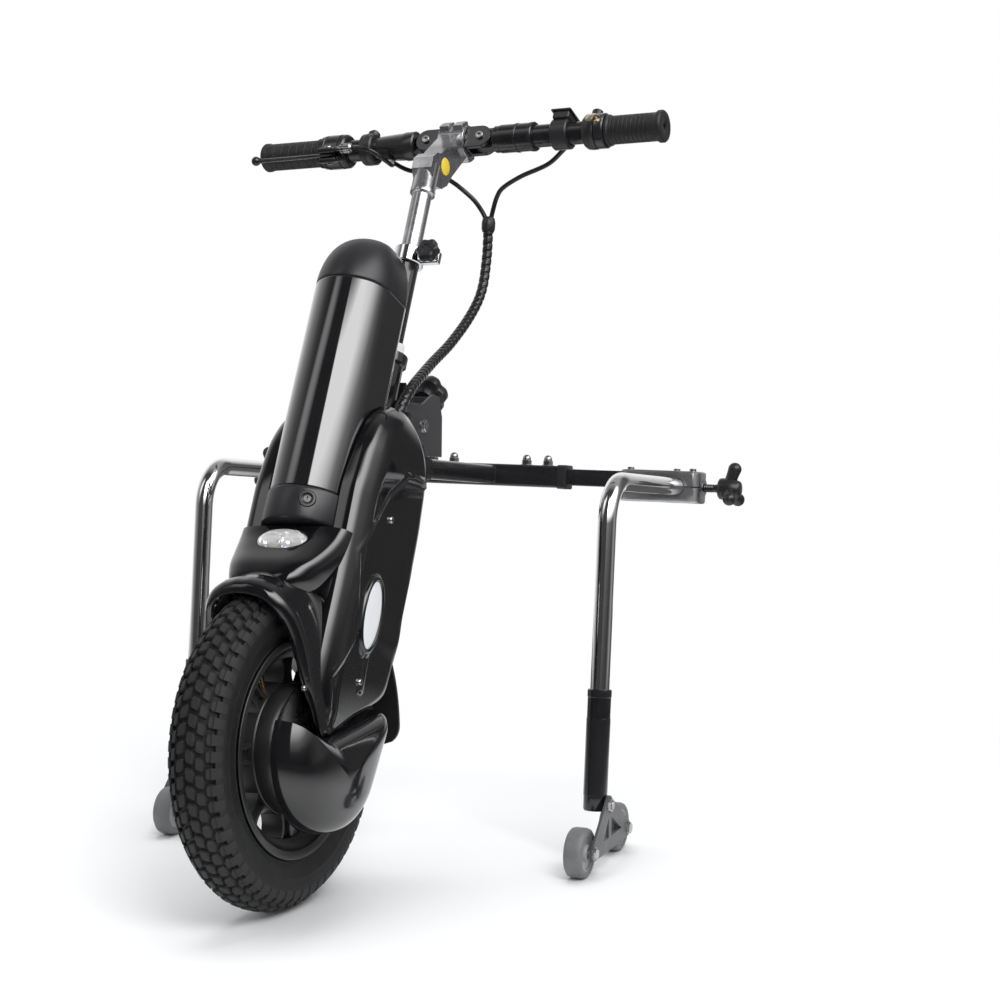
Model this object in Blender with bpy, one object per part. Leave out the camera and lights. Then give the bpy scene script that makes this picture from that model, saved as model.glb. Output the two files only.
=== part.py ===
"""Electric front-wheel drive unit that clamps to a wheelchair's front frame tubes.

Metres, +Z up, the floor at z = 0. The unit faces -Y, the rider sits towards +Y and the rider's
left is +X. The hub-motor wheel, fork, moulded shell, battery and handlebar turn together on a
leaning steering axis. Behind them a tilting arm carries the cross tube, the two sliding clamps
and the stand legs with their casters.
"""

import bpy
import bmesh
from math import acos, asin, atan2, cos, hypot, pi, radians, sin, sqrt, tan
from mathutils import Matrix, Vector

# Clearances
gap = 0.0003                    # between pieces that seat on each other
running = 0.0005                # round a shaft or a slide that moves
rubbing = 0.0015                # beside a turning wheel or a swinging plate

# Stance
steering_lean = radians(28.4)
steering_turn = radians(-5.6)   # the wheel points a little to the rider's right at rest
frame_pitch = radians(7.0)      # the rear frame rises towards the front
fork_offset = 0.053             # axle in front of the steering axis
frame_back = 0.557              # cross tube behind the front axle
frame_height = 0.376

# Tyre and cast wheel
tyre_radius = 0.159
tyre_half_width = 0.0285
tread_depth = 0.0035
tyre_steps = 40
tread_base = tyre_radius - tread_depth
carcass_wall = 0.005
bead_radius = 0.1030
bead_half_width = 0.0215
rim_half_width = 0.0245
rim_flange_height = 0.0050
rim_well_depth = 0.0110
drum_radius = 0.064
drum_half_width = 0.036
spoke_count = 8
spoke_width = 0.020
spoke_depth = 0.024
motor_cover_radius = 0.058
motor_cover_step = 0.0045
axle_radius = 0.006
axle_nut_radius = 0.0095
axle_nut_length = 0.006
disc_radius = 0.070
disc_thickness = 0.002
disc_side = 0.0425
caliper_depth = 0.030
caliper_height = 0.040
caliper_up = 0.062

# Fork, head and steering column
blade_side = 0.0480             # inner face of each blade
blade_thickness = 0.007
blade_width = 0.030
crown_bottom = tyre_radius + 0.007
crown_height = 0.024
crown_depth = 0.040
column_radius = 0.0127
column_bore = 0.0112
column_top = crown_bottom + 0.408
head_tube_radius = 0.0185
head_tube_bottom = crown_bottom + crown_height + running
head_tube_top = crown_bottom + 0.274
headset_cup_radius = 0.0215
headset_cup_height = 0.010
headset_nut_height = 0.012
headset_nut_radius = 0.0175

# Stem and handlebar
stem_sleeve_radius = 0.0140
stem_sleeve_bottom = column_top + 0.072
stem_sleeve_top = stem_sleeve_bottom + 0.044
quill_overlap = 0.150
stem_web = 0.0110
bar_height = stem_sleeve_top + 0.0536
bar_setback = 0.050
bar_radius = 0.0127
bar_half_length = 0.254
controls_length = 0.155         # the outer part of each bar half that is free for grip and controls
perch_length = 0.034
switch_length = 0.016
throttle_length = 0.026
throttle_body = 0.014           # of that length, the housing; the paddle has the rest
display_length = 0.034
lever_tip_down = radians(37)
horn_travel = 0.0015
clamp_radius = 0.0185
clamp_half_width = 0.0160
collar_height = 0.019
collar_radius = 0.0170
hinge_web = 0.0019
hinge_block_size = 0.031
hinge_block_end = 0.0032
hinge_tongue_half = 0.0055
hinge_bolt_radius = 0.0040
grip_radius = 0.0160
brake_grip_length = 0.080
throttle_grip_length = 0.067

# Moulded shell
shell_wall = 0.0030
shell_top = crown_bottom + 0.198
shell_rear = -0.042
shell_half_width = 0.0700
shell_taper = 0.0060
skirt_tip = 0.012

# Battery and its bay
battery_radius = 0.042
battery_forward = 0.088
battery_back = 0.044
bay_clearance = 0.0025
bay_floor = crown_bottom + crown_height + 0.0185
battery_bottom = bay_floor + 0.0027
battery_cap_height = 0.0345
battery_body_top = battery_bottom + 0.2678
battery_top = battery_body_top + 0.066
battery_cap_step = 0.0012

# Headlight
light_height = bay_floor - 0.0185
light_forward = 0.1130
light_half_width = 0.0290
light_half_height = 0.0140
light_bulge = 0.0110
light_depth = 0.0090

# Hub cover
cover_radius = 0.081
cover_side = 0.0448
cover_bulge = 0.0400
cover_wall = 0.0025

# Cross tube, arm and tilt bracket
cross_half_length = 0.100
cross_size = 0.026
cross_wall = 0.003
arm_width = 0.024
arm_height = 0.022
arm_straight_end = -0.238
saddle_wall = 0.002
saddle_front = -0.246
saddle_back = -0.212
plate_inner = 0.0200
plate_thickness = 0.004
pivot_back = -0.266
pivot_up = 0.045
slot_radius = 0.0527
tilt_range = radians(8.0)
slot_pin_radius = 0.004

# Clamps on the wheelchair's frame tubes
slide_overlap = 0.070
block_left = 0.170
block_right = 0.266
block_height = 0.037
block_depth = 0.040
block_drop = 0.0065
channel_left = 0.186
channel_width = 0.036
channel_depth = 0.027
jaw_thickness = 0.007
screw_radius = 0.005
screw_back = 0.007
screw_free_length = 0.018
knob_hub_radius = 0.0125
knob_hub_length = 0.014
knob_arm_reach = 0.034
knob_arm_radius = 0.0075
knob_arm_count = 3

# Stand legs and casters
leg_side = 0.239
leg_forward = 0.268
leg_bend = 0.045
leg_radius = 0.010
leg_wall = 0.0015
sleeve_radius = 0.0127
sleeve_length = 0.127
sleeve_overlap = 0.028
caster_radius = 0.026
caster_width = 0.020
caster_front = -0.049
caster_rear = 0.064
bogie_drop = 0.040
bogie_plate = 0.003

# Values that follow from the sizes above
block_middle = (block_left + block_right) / 2
rear_reach = frame_back + knob_arm_reach + screw_back
footprint_middle = (rear_reach - tyre_radius) / 2
axis_foot_back = fork_offset * cos(steering_lean)
rib_edge_drop = 0.32 * tyre_half_width * sin(abs(steering_turn)) * sin(steering_lean)
axis_foot_height = tyre_radius + rib_edge_drop - fork_offset * sin(steering_lean)

TO_X = Matrix.Rotation(pi / 2, 4, "Y")
TO_BACK = Matrix.Rotation(-pi / 2, 4, "X")
TO_FRONT = Matrix.Rotation(pi / 2, 4, "X")


# Scene helpers

def clear_scene():
    for thing in list(bpy.data.objects):
        bpy.data.objects.remove(thing, do_unlink=True)


def make_material(name, colour, roughness, metallic=0.0):
    material = bpy.data.materials.new(name)
    material.use_nodes = True
    shader = material.node_tree.nodes["Principled BSDF"]
    shader.inputs["Base Color"].default_value = (*colour, 1.0)
    shader.inputs["Roughness"].default_value = roughness
    shader.inputs["Metallic"].default_value = metallic
    return material


def make_frame(name, parent=None, matrix=Matrix.Identity(4)):
    frame = bpy.data.objects.new(name, None)
    bpy.context.scene.collection.objects.link(frame)
    frame.parent = parent
    frame.matrix_local = matrix
    return frame


def make_object(name, bm, frame, origin=(0, 0, 0)):
    """Write bm, drawn in the frame's axes, as an object whose own origin is at `origin`.

    Warped faces are split into triangles first, so every later cut works on flat faces.
    """
    bmesh.ops.translate(bm, verts=bm.verts, vec=-Vector(origin))
    bm.normal_update()
    warped = [face for face in bm.faces if len(face.verts) > 3 and is_warped(face)]
    bmesh.ops.triangulate(bm, faces=warped)
    bmesh.ops.recalc_face_normals(bm, faces=bm.faces)
    mesh = bpy.data.meshes.new(name)
    bm.to_mesh(mesh)
    bm.free()
    thing = bpy.data.objects.new(name, mesh)
    bpy.context.scene.collection.objects.link(thing)
    thing.parent = frame
    thing.location = origin
    return thing


def is_warped(face):
    middle = face.calc_center_median()
    return any(abs((vert.co - middle).dot(face.normal)) > 1e-7 for vert in face.verts)


def make_node(name, bm, material, frame, origin=(0, 0, 0), sharp=35):
    thing = make_object(name, bm, frame, origin)
    thing.data.materials.append(material)
    thing.data.shade_smooth()
    thing.data.set_sharp_from_angle(angle=radians(sharp))
    return thing


def combine(target, bm, operation):
    tool = make_object(f"{target.name}_{operation.lower()}_{len(target.modifiers)}", bm, target.parent)
    tool.hide_render = True
    tool.display_type = "WIRE"
    step = target.modifiers.new(operation.title(), "BOOLEAN")
    step.operation = operation
    step.solver = "EXACT"
    step.object = tool
    return tool


def cut(target, *tools):
    for bm in tools:
        combine(target, bm, "DIFFERENCE")


def fuse(target, *tools):
    for bm in tools:
        combine(target, bm, "UNION")


# Shape helpers, each of which returns a closed bmesh

def skin_loops(loops, ring=False, caps=True):
    """Join equal loops of points by quads; `ring` joins the last loop to the first."""
    bm = bmesh.new()
    rows = [[bm.verts.new(point) for point in loop] for loop in loops]
    pairs = list(zip(rows, rows[1:]))
    if ring:
        pairs.append((rows[-1], rows[0]))
    count = len(rows[0])
    for low, high in pairs:
        for i in range(count):
            j = (i + 1) % count
            bm.faces.new((low[i], low[j], high[j], high[i]))
    if caps and not ring:
        bm.faces.new(rows[0][::-1])
        bm.faces.new(rows[-1])
    return bm


def lathe(profile, steps=32, closed=False):
    """Turn (radius, height) points about Z; the ends lie on the axis unless the profile is closed."""
    angles = [2 * pi * i / steps for i in range(steps)]
    if closed:
        loops = [[(r * cos(a), r * sin(a), z) for r, z in profile] for a in angles]
        return skin_loops(loops, ring=True)
    bm = bmesh.new()
    inner = profile[1:-1]
    rows = [[bm.verts.new((r * cos(a), r * sin(a), z)) for a in angles] for r, z in inner]
    low = bm.verts.new((0, 0, profile[0][1]))
    high = bm.verts.new((0, 0, profile[-1][1]))
    for i in range(steps):
        j = (i + 1) % steps
        bm.faces.new((low, rows[0][j], rows[0][i]))
        bm.faces.new((high, rows[-1][i], rows[-1][j]))
        for a, b in zip(rows, rows[1:]):
            bm.faces.new((a[i], a[j], b[j], b[i]))
    return bm


def cylinder(radius, low, high, steps=12, edge=0.0):
    """A solid round bar along Z with its ends eased by `edge`."""
    if edge:
        return lathe([(0, low), (radius - edge, low), (radius, low + edge),
                      (radius, high - edge), (radius - edge, high), (0, high)], steps)
    return lathe([(0, low), (radius, low), (radius, high), (0, high)], steps)


def pipe(outer, inner, low, high, steps=16):
    return lathe([(inner, low), (outer, low), (outer, high), (inner, high)], steps, closed=True)


def box(low, high):
    (x0, y0, z0), (x1, y1, z1) = low, high
    loops = [[(x0, y0, z), (x1, y0, z), (x1, y1, z), (x0, y1, z)] for z in (z0, z1)]
    return skin_loops(loops)


def prism(outline, low, high):
    """Extrude a flat outline along Z."""
    return skin_loops([[(x, y, z) for x, y in outline] for z in (low, high)])


def side_prism(outline, low, high):
    """Extrude an outline of (y, z) points along X from `low` to `high`."""
    return skin_loops([[(x, y, z) for y, z in outline] for x in (low, high)])


def front_prism(outline, low, high):
    """Extrude an outline of (x, z) points along Y from `low` to `high`."""
    return skin_loops([[(x, y, z) for x, z in outline] for y in (low, high)])


def moved(bm, matrix=None, at=(0, 0, 0)):
    if matrix is not None:
        bm.transform(matrix)
    bmesh.ops.translate(bm, verts=bm.verts, vec=Vector(at))
    return bm


def mirrored(point, side):
    return (side * point[0], point[1], point[2])


def flipped(bm, side):
    """Mirror a shape drawn for the +X side over to the side wanted."""
    if side < 0:
        bm.transform(Matrix.Scale(-1, 4, (1, 0, 0)))
        bmesh.ops.reverse_faces(bm, faces=bm.faces)
    return bm


def arc(centre, radius, start, end, steps):
    """Points on a circle, angles in radians, both ends included."""
    return [(centre[0] + radius * cos(start + (end - start) * i / steps),
             centre[1] + radius * sin(start + (end - start) * i / steps)) for i in range(steps + 1)]


def ring_part(centre, inner, outer, start, end, half, steps=10):
    """Part of a ring about X with flat ends, from -half to +half along X."""
    shape = arc(centre, outer, start, end, steps) + arc(centre, inner, end, start, steps)
    return side_prism(shape, -half, half)


def rounded_outline(half_x, low_y, high_y, low_radius, high_radius, steps=4,
                    low_half_x=None):
    """A four-sided outline with rounded corners, narrower at low_y when low_half_x says so."""
    low_half_x = half_x if low_half_x is None else low_half_x
    points = arc((half_x - high_radius, high_y - high_radius), high_radius, 0, pi / 2, steps)
    points += arc((-half_x + high_radius, high_y - high_radius), high_radius, pi / 2, pi, steps)
    points += arc((-low_half_x + low_radius, low_y + low_radius), low_radius, pi, 3 * pi / 2, steps)
    points += arc((low_half_x - low_radius, low_y + low_radius), low_radius, 3 * pi / 2, 2 * pi, steps)
    return points


def path_frames(path):
    """Yield each point of a path with two unit vectors square to it, carried without twist."""
    points = [Vector(p) for p in path]
    normal = None
    for i, point in enumerate(points):
        ahead = points[min(i + 1, len(points) - 1)] - points[max(i - 1, 0)]
        ahead.normalize()
        if normal is None:
            normal = ahead.orthogonal().normalized()
            if abs(ahead.x) < 0.999:
                normal = ahead.cross(Vector((1, 0, 0))).cross(ahead).normalized()
        normal = (normal - ahead * normal.dot(ahead)).normalized()
        yield point, normal, ahead.cross(normal)


def sweep(path, outline):
    """Carry a flat outline of (across, up) points along a path."""
    loops = []
    for point, across, up in path_frames(path):
        loops.append([point + across * a + up * b for a, b in outline])
    return skin_loops(loops)


def rod(path, radius, sides=8):
    outline = [(radius * cos(2 * pi * i / sides), radius * sin(2 * pi * i / sides)) for i in range(sides)]
    return sweep(path, outline)


def bent_pipe(path, outer, inner, sides=16):
    """A hollow tube along a path with flat annular ends."""
    bm = bmesh.new()
    rows = []
    for point, across, up in path_frames(path):
        for radius in (outer, inner):
            rows.append([bm.verts.new(point + (across * cos(a) + up * sin(a)) * radius)
                         for a in (2 * pi * i / sides for i in range(sides))])
    for i in range(sides):
        j = (i + 1) % sides
        for k in range(0, len(rows) - 2, 2):
            bm.faces.new((rows[k][i], rows[k][j], rows[k + 2][j], rows[k + 2][i]))
            bm.faces.new((rows[k + 1][j], rows[k + 1][i], rows[k + 3][i], rows[k + 3][j]))
        bm.faces.new((rows[0][j], rows[0][i], rows[1][i], rows[1][j]))
        bm.faces.new((rows[-2][i], rows[-2][j], rows[-1][j], rows[-1][i]))
    return bm


def bend_path(start, corner, end, radius, steps=8):
    """A path from start to end whose one corner is an arc."""
    start, corner, end = Vector(start), Vector(corner), Vector(end)
    to_start = (start - corner).normalized()
    to_end = (end - corner).normalized()
    half = to_start.angle(to_end) / 2
    reach = radius / tan(half)
    centre = corner + (to_start + to_end).normalized() * (radius / sin(half))
    first = corner + to_start * reach - centre
    last = corner + to_end * reach - centre
    points = [start]
    for i in range(steps + 1):
        points.append(centre + first.normalized().slerp(last.normalized(), i / steps) * first.length)
    points.append(end)
    return points


def smooth_path(points, steps=6):
    """A Catmull-Rom curve through hand-set points."""
    knots = [Vector(p) for p in points]
    knots = [2 * knots[0] - knots[1]] + knots + [2 * knots[-1] - knots[-2]]
    out = []
    for a, b, c, d in zip(knots, knots[1:], knots[2:], knots[3:]):
        for i in range(steps):
            t = i / steps
            out.append(0.5 * (2 * b + (c - a) * t + (2 * a - 5 * b + 4 * c - d) * t ** 2
                              + (3 * b - a - 3 * c + d) * t ** 3))
    out.append(knots[-2])
    return out


# The hub-motor wheel, drawn about its own axle along X

def tyre_shape():
    """The carcass turned as a C section, with a centre rib between two grooves and raised shoulders."""
    groove = tread_base
    half = [(bead_half_width, bead_radius), (tyre_half_width, bead_radius + 0.024),
            (tyre_half_width, tyre_radius - 0.0210), (0.86 * tyre_half_width, tyre_radius - 0.0095),
            (0.58 * tyre_half_width, tyre_radius - 0.0028), (0.54 * tyre_half_width, groove - 0.0012),
            (0.36 * tyre_half_width, groove), (0.32 * tyre_half_width, tyre_radius)]
    inside = [(bead_half_width - 0.8 * carcass_wall, bead_radius),
              (tyre_half_width - carcass_wall, tyre_radius - 0.0260),
              (0.50 * tyre_half_width, groove - 0.0010 - carcass_wall)]
    profile = [(r, -x) for x, r in half] + [(r, x) for x, r in half[::-1]]
    profile += [(r, x) for x, r in inside] + [(r, -x) for x, r in inside[::-1]]
    return moved(lathe(profile, tyre_steps, closed=True), TO_X)


def build_wheel(frame, paint):
    make_node("tyre", tyre_shape(), paint["tyre"], frame)

    seat = bead_radius - gap - 0.0004
    well = seat - rim_well_depth
    rim_wall = 0.0035
    lip = seat + rim_flange_height
    rim_profile = [(lip, -rim_half_width), (seat, -rim_half_width + 0.0022), (seat - 0.0010, -0.014),
                   (well, -0.009), (well, 0.009), (seat - 0.0010, 0.014),
                   (seat, rim_half_width - 0.0022), (lip, rim_half_width),
                   (lip - 0.001, rim_half_width + 0.002), (seat - rim_wall, rim_half_width - 0.001),
                   (well - rim_wall, 0.013), (well - rim_wall, -0.013),
                   (seat - rim_wall, -rim_half_width + 0.001), (lip - 0.001, -rim_half_width - 0.002)]
    rim = make_node("cast_wheel", moved(lathe(rim_profile, 32, closed=True), TO_X),
                    paint["rim"], frame)
    bore = axle_radius + running
    drum = [(bore, -drum_half_width + motor_cover_step),
            (drum_radius - 0.003, -drum_half_width + motor_cover_step),
            (drum_radius, -drum_half_width + motor_cover_step + 0.004),
            (drum_radius, drum_half_width - 0.004), (drum_radius - 0.005, drum_half_width),
            (bore, drum_half_width)]
    fuse(rim, moved(lathe(drum, 20, closed=True), TO_X))
    for i in range(spoke_count):
        turn = Matrix.Rotation(2 * pi * (i + 0.5) / spoke_count, 4, "X")
        inner, outer = drum_radius - 0.004, well - rim_wall / 2
        waist = spoke_width * 0.36
        side = [(-spoke_width / 2, inner), (-waist, (inner + outer) / 2), (-spoke_width * 0.62, outer),
                (spoke_width * 0.62, outer), (waist, (inner + outer) / 2), (spoke_width / 2, inner)]
        spoke = side_prism(side, -spoke_depth / 2, spoke_depth / 2)
        fuse(rim, moved(spoke, turn))
    valve_axis = Matrix.Rotation(2 * pi / spoke_count, 4, "X")
    cut(rim, moved(cylinder(0.0038 + gap, well - rim_wall - 0.004, well + 0.010, 16), valve_axis))

    cover_low = -drum_half_width - 0.0035
    cover_high = -drum_half_width + motor_cover_step - gap
    cover = make_node("motor_cover", moved(lathe([
        (bore, cover_low), (0.022, cover_low), (0.026, -drum_half_width), (0.046, -drum_half_width),
        (0.050, cover_low + 0.001), (motor_cover_radius - 0.001, cover_low + 0.001),
        (motor_cover_radius, cover_low + 0.002), (motor_cover_radius, cover_high),
        (bore, cover_high)], 20, closed=True), TO_X), paint["rim"], frame)
    for i in range(6):
        a = 2 * pi * i / 6
        head = moved(cylinder(0.0035, cover_low - 0.0015, cover_low + 0.003, 6), TO_X,
                     at=(0, 0.0535 * cos(a), 0.0535 * sin(a)))
        fuse(cover, head)

    valve = lathe([(0, well - 0.026), (0.0026, well - 0.026), (0.0030, well - 0.020),
                   (0.0030, well - rim_wall - 0.004), (0.0038, well - rim_wall - 0.003),
                   (0.0038, well + 0.004), (0, well + 0.004)], 12)
    make_node("tyre_valve", moved(valve, valve_axis), paint["brass"], frame)

    half, boss = disc_thickness / 2, 0.020
    rotor = [(bore, drum_half_width + gap), (boss, drum_half_width + gap), (boss, disc_side - half),
             (disc_radius, disc_side - half), (disc_radius, disc_side + half), (bore, disc_side + half)]
    make_node("brake_disc", moved(lathe(rotor, 30, closed=True), TO_X), paint["steel"], frame)


# Fork, column and brake

def blade_outline():
    """Side view of a blade: a round dropout at the axle rising to the crown."""
    half = blade_width / 2
    boss = arc((-fork_offset, 0), half, radians(150), radians(390), 12)
    top = crown_bottom + crown_height - 0.002
    return boss + [(half, crown_bottom - 0.030), (half, top), (-half, top),
                   (-half, crown_bottom - 0.030)]


def build_fork(frame, paint):
    crown_half = blade_side + blade_thickness
    fork = make_node("fork", box((-crown_half, -crown_depth / 2, crown_bottom),
                                 (crown_half, crown_depth / 2, crown_bottom + crown_height)),
                     paint["black"], frame)
    for side in (1, -1):
        fuse(fork, flipped(side_prism(blade_outline(), blade_side, blade_side + blade_thickness), side))
    fuse(fork, cylinder(column_radius, crown_bottom + 0.004, column_top, 20))
    bore_low = column_top - quill_overlap - 0.06
    cut(fork, cylinder(column_bore, bore_low, column_top + 0.01, 20),
        moved(cylinder(axle_radius + gap, -crown_half - 0.01, crown_half + 0.01, 16), TO_X,
              at=(0, -fork_offset, 0)))

    nut_in = crown_half + gap
    nut_out = nut_in + axle_nut_length
    axle = make_node("axle", moved(lathe([
        (0, -nut_out - 0.0015), (axle_radius, -nut_out - 0.0015), (axle_radius, -nut_out),
        (axle_nut_radius, -nut_out), (axle_nut_radius, -nut_in), (axle_radius, -nut_in),
        (axle_radius, nut_in), (axle_nut_radius, nut_in), (axle_nut_radius, nut_out),
        (axle_radius, nut_out), (axle_radius, nut_out + 0.0015), (0, nut_out + 0.0015)], 12), TO_X),
        paint["steel"], frame)
    axle.location = (0, -fork_offset, 0)

    # The caliper straddles the disc above the axle and bolts to the blade's inner face
    inboard = drum_half_width + 0.0013
    caliper = make_node("brake_caliper", box(
        (inboard, -fork_offset - caliper_depth / 2, caliper_up - caliper_height / 2),
        (blade_side - gap, -fork_offset + caliper_depth / 2, caliper_up + caliper_height / 2)),
        paint["black"], frame)
    slot = disc_thickness / 2 + 0.0010
    cut(caliper, moved(cylinder(disc_radius + 0.002, disc_side - slot, disc_side + slot, 36), TO_X,
                       at=(0, -fork_offset, 0)))

    build_flap(frame, paint)

    nut_low = head_tube_top + headset_cup_height + running
    nut = make_node("headset_nut", cylinder(headset_nut_radius, nut_low, nut_low + headset_nut_height, 6),
                    paint["steel"], frame)
    cut(nut, cylinder(column_radius + gap, nut_low - 0.01, nut_low + headset_nut_height + 0.01, 24))


def build_flap(frame, paint):
    """The mud flap follows the tyre behind the crown and is hung from it by a tab."""
    inner = tyre_radius + 0.0075
    outer = inner + 0.003
    half = 0.044
    start, end = radians(92), radians(18)
    loops = []
    for i in range(11):
        a = start + (end - start) * i / 10
        loops.append([(x, -fork_offset + r * cos(a), r * sin(a))
                      for x, r in ((-half, inner), (half, inner), (half, outer), (-half, outer))])
    start_y = -fork_offset + inner * cos(start)
    flap = make_node("mud_flap", skin_loops(loops), paint["black_plastic"], frame)
    tab_y = 0.006
    tab_low = sqrt(inner ** 2 - (fork_offset + tab_y) ** 2) - 0.002
    fuse(flap, box((-0.020, tab_y - 0.009, tab_low), (0.020, tab_y + 0.004, crown_bottom - gap)))
    cut(flap, box((-0.1, start_y - 0.08, 0.0), (0.1, -tab_y, outer + 0.1)))


# Moulded shell, battery bay and headlight

def shell_body(inset=0.0, rear_open=0.0, drop=0.0, lift=0.0):
    """The shell's main body as outlines from the skirt tips to the lobe tops."""
    rear = -shell_rear
    # height, front reach, rear reach, half width at its widest
    stations = [
        (skirt_tip, 0.0770, -0.063, shell_half_width - 0.0060),
        (skirt_tip + 0.018, 0.0860, -0.035, shell_half_width - 0.0050),
        (skirt_tip + 0.046, 0.0940, 0.008, shell_half_width - 0.0035),
        (skirt_tip + 0.068, 0.0975, rear - 0.002, shell_half_width - 0.0025),
        (skirt_tip + 0.098, 0.0995, rear, shell_half_width - 0.0015),
        (skirt_tip + 0.138, 0.1005, rear, shell_half_width - 0.0005),
        (shell_top - 0.155, 0.1020, rear, shell_half_width),
        (shell_top - 0.104, 0.1030, rear - 0.001, shell_half_width),
        (shell_top - 0.055, 0.0960, rear - 0.006, shell_half_width - 0.0005),
        (shell_top - 0.026, 0.0850, rear - 0.022, shell_half_width - 0.0025),
        (shell_top - 0.009, 0.0700, 0.000, shell_half_width - 0.0055),
        (shell_top, 0.0560, -0.020, shell_half_width - 0.0110),
    ]
    loops = []
    for height, front, back, wide in stations:
        depth = back + front
        corner = min(0.012, depth * 0.28) - inset
        front_half = wide - 0.007 - inset
        rear_half = wide - shell_taper * min(1.0, depth / 0.14) - inset
        front_y, back_y = -(front - inset), rear_open or (back - inset)
        side = [(wide - inset, -front + min(0.020, depth * 0.45))]
        back_half = arc((rear_half - corner, back_y - corner), corner, 0, pi / 2, 3)
        front_side = arc((-front_half + corner, front_y + corner), corner, pi, 3 * pi / 2, 3)
        outline = side + back_half + [(-x, y) for x, y in back_half[::-1]]
        outline += [(-x, y) for x, y in side] + front_side + [(-x, y) for x, y in front_side[::-1]]
        level = height
        if height == stations[0][0]:
            level = height - drop
        if height == stations[-1][0]:
            level = height - lift
        loops.append([(x, y, level) for x, y in outline])
    return skin_loops(loops)


def hood_section():
    """Half of the hood's section: side, distance from the axle, angle of its front lip."""
    side = blade_side + blade_thickness + 0.007
    top = tyre_radius + 0.0175
    return [(side, 0.024, 20), (side - 0.0020, 0.050, 38), (side - 0.0045, 0.085, 44),
            (side - 0.0080, 0.115, 47), (side - 0.0125, top - 0.0385, 47), (side - 0.0190, top - 0.0215, 46),
            (side - 0.0280, top - 0.0100, 46), (side - 0.0400, top - 0.0030, 46), (0.0080, top, 46)]


def hood_solid():
    """The hood over the tyre, swept about the axle from its front lip back into the body."""
    half = hood_section()
    section = half + [(-x, r, lip) for x, r, lip in half[::-1]]
    loops = []
    for share in (0.0, 0.4, 1.0):
        loop = []
        for x, r, lip in section:
            end = 72 + 22 * min(1.0, r / 0.115)
            a = radians(lip + (end - lip) * share)
            loop.append((x, -fork_offset - r * cos(a), r * sin(a)))
        loops.append(loop)
    return skin_loops(loops)


def wheel_arch():
    """The room for the wheel under the hood, one wall inside the hood's own section."""
    half = [(r - shell_wall, x - shell_wall) for x, r, _ in hood_section()]
    profile = [(0, half[0][1])] + half + [(r, -x) for r, x in half[::-1]] + [(0, -half[0][1])]
    return moved(lathe(profile[::-1], 36), TO_X, at=(0, -fork_offset, 0))


def chin_solid():
    """The sloped chin under the battery that carries the headlight."""
    loops = []
    # drop below the bay's floor, front reach, half width
    for drop, front, half in ((0.0685, 0.150, 0.028), (0.0485, 0.1420, 0.036), (0.0305, 0.1270, 0.046),
                              (0.0125, 0.1175, 0.053), (0.0006, 0.1120, 0.056)):
        height = bay_floor - drop
        corner = 0.016
        front_side = arc((-half + corner, -front + corner), corner, pi, 3 * pi / 2, 3)
        outline = [(half, -0.085), (-half, -0.085)] + front_side + [(-x, y) for x, y in front_side[::-1]]
        loops.append([(x, y, height) for x, y in outline])
    return skin_loops(loops)


def battery_outline(grow=0.0, steps=10):
    """The battery's section: a round front and a squared back, (x, y) with the front at -y."""
    radius = battery_radius + grow
    front = arc((0, -battery_forward), radius, pi, 2 * pi, steps)
    corner = 0.012
    back_y = -battery_back + grow
    back = arc((radius - corner, back_y - corner), corner, 0, pi / 2, 3)
    back += arc((-radius + corner, back_y - corner), corner, pi / 2, pi, 3)
    return front + back


def lens_shape(grow=0.0, back=None):
    """Half of a flattened ball, bulging towards -Y, on a short straight rim."""
    back = light_depth if back is None else back
    wide, tall = light_half_width + grow, light_half_height + grow
    loops = []
    steps = 20
    for share, reach in ((1.0, -back), (1.0, 0.0), (0.94, 0.45), (0.80, 0.74), (0.55, 0.92), (0.22, 1.0)):
        y = back if reach < 0 else -reach * light_bulge
        loops.append([(share * wide * cos(2 * pi * i / steps), y,
                       share * tall * sin(2 * pi * i / steps)) for i in range(steps)])
    return skin_loops(loops)


def light_place():
    return (0, -light_forward, light_height)


LIGHT_TILT = Matrix.Rotation(radians(-14), 4, "X")


def build_shell(frame, paint):
    shell = make_node("shell", shell_body(), paint["gloss_black"], frame, sharp=40)
    # The hollow spares a cup round the battery and a seat behind the lamp
    hollow = combine(shell, shell_body(shell_wall, rear_open=0.09, drop=0.02, lift=0.003), "DIFFERENCE")
    cut(hollow, prism(battery_outline(bay_clearance + shell_wall), bay_floor - shell_wall, shell_top + 0.02))
    fuse(shell, hood_solid(), chin_solid())
    cut(shell, prism(battery_outline(bay_clearance), bay_floor, shell_top + 0.05),
        wheel_arch(), moved(lens_shape(gap, light_depth + gap), LIGHT_TILT, at=light_place()))
    # The back stays open for the head tube and its lug
    half = shell_half_width * 0.80
    cut(shell, box((-half, -battery_back - 0.006, shell_top - 0.064), (half, 0.07, shell_top + 0.03)),
        moved(cylinder(0.017, -0.09, 0.09, 20), TO_X, at=(0, -shell_rear + 0.004, shell_top - 0.046)))


def build_headlight(frame, paint):
    lens = lens_shape(0.0, light_depth * 0.35)
    make_node("headlight_lens", moved(lens, LIGHT_TILT, at=light_place()), paint["clear"], frame)
    low, high = light_depth * 0.35 + gap, light_depth
    outline = [((light_half_width - 0.001) * cos(2 * pi * i / 20),
                (light_half_height - 0.001) * sin(2 * pi * i / 20)) for i in range(20)]
    plate = skin_loops([[(x, y, z) for x, z in outline] for y in (low, high)])
    make_node("headlight_reflector", moved(plate, LIGHT_TILT, at=light_place()), paint["chrome"], frame)


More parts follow.
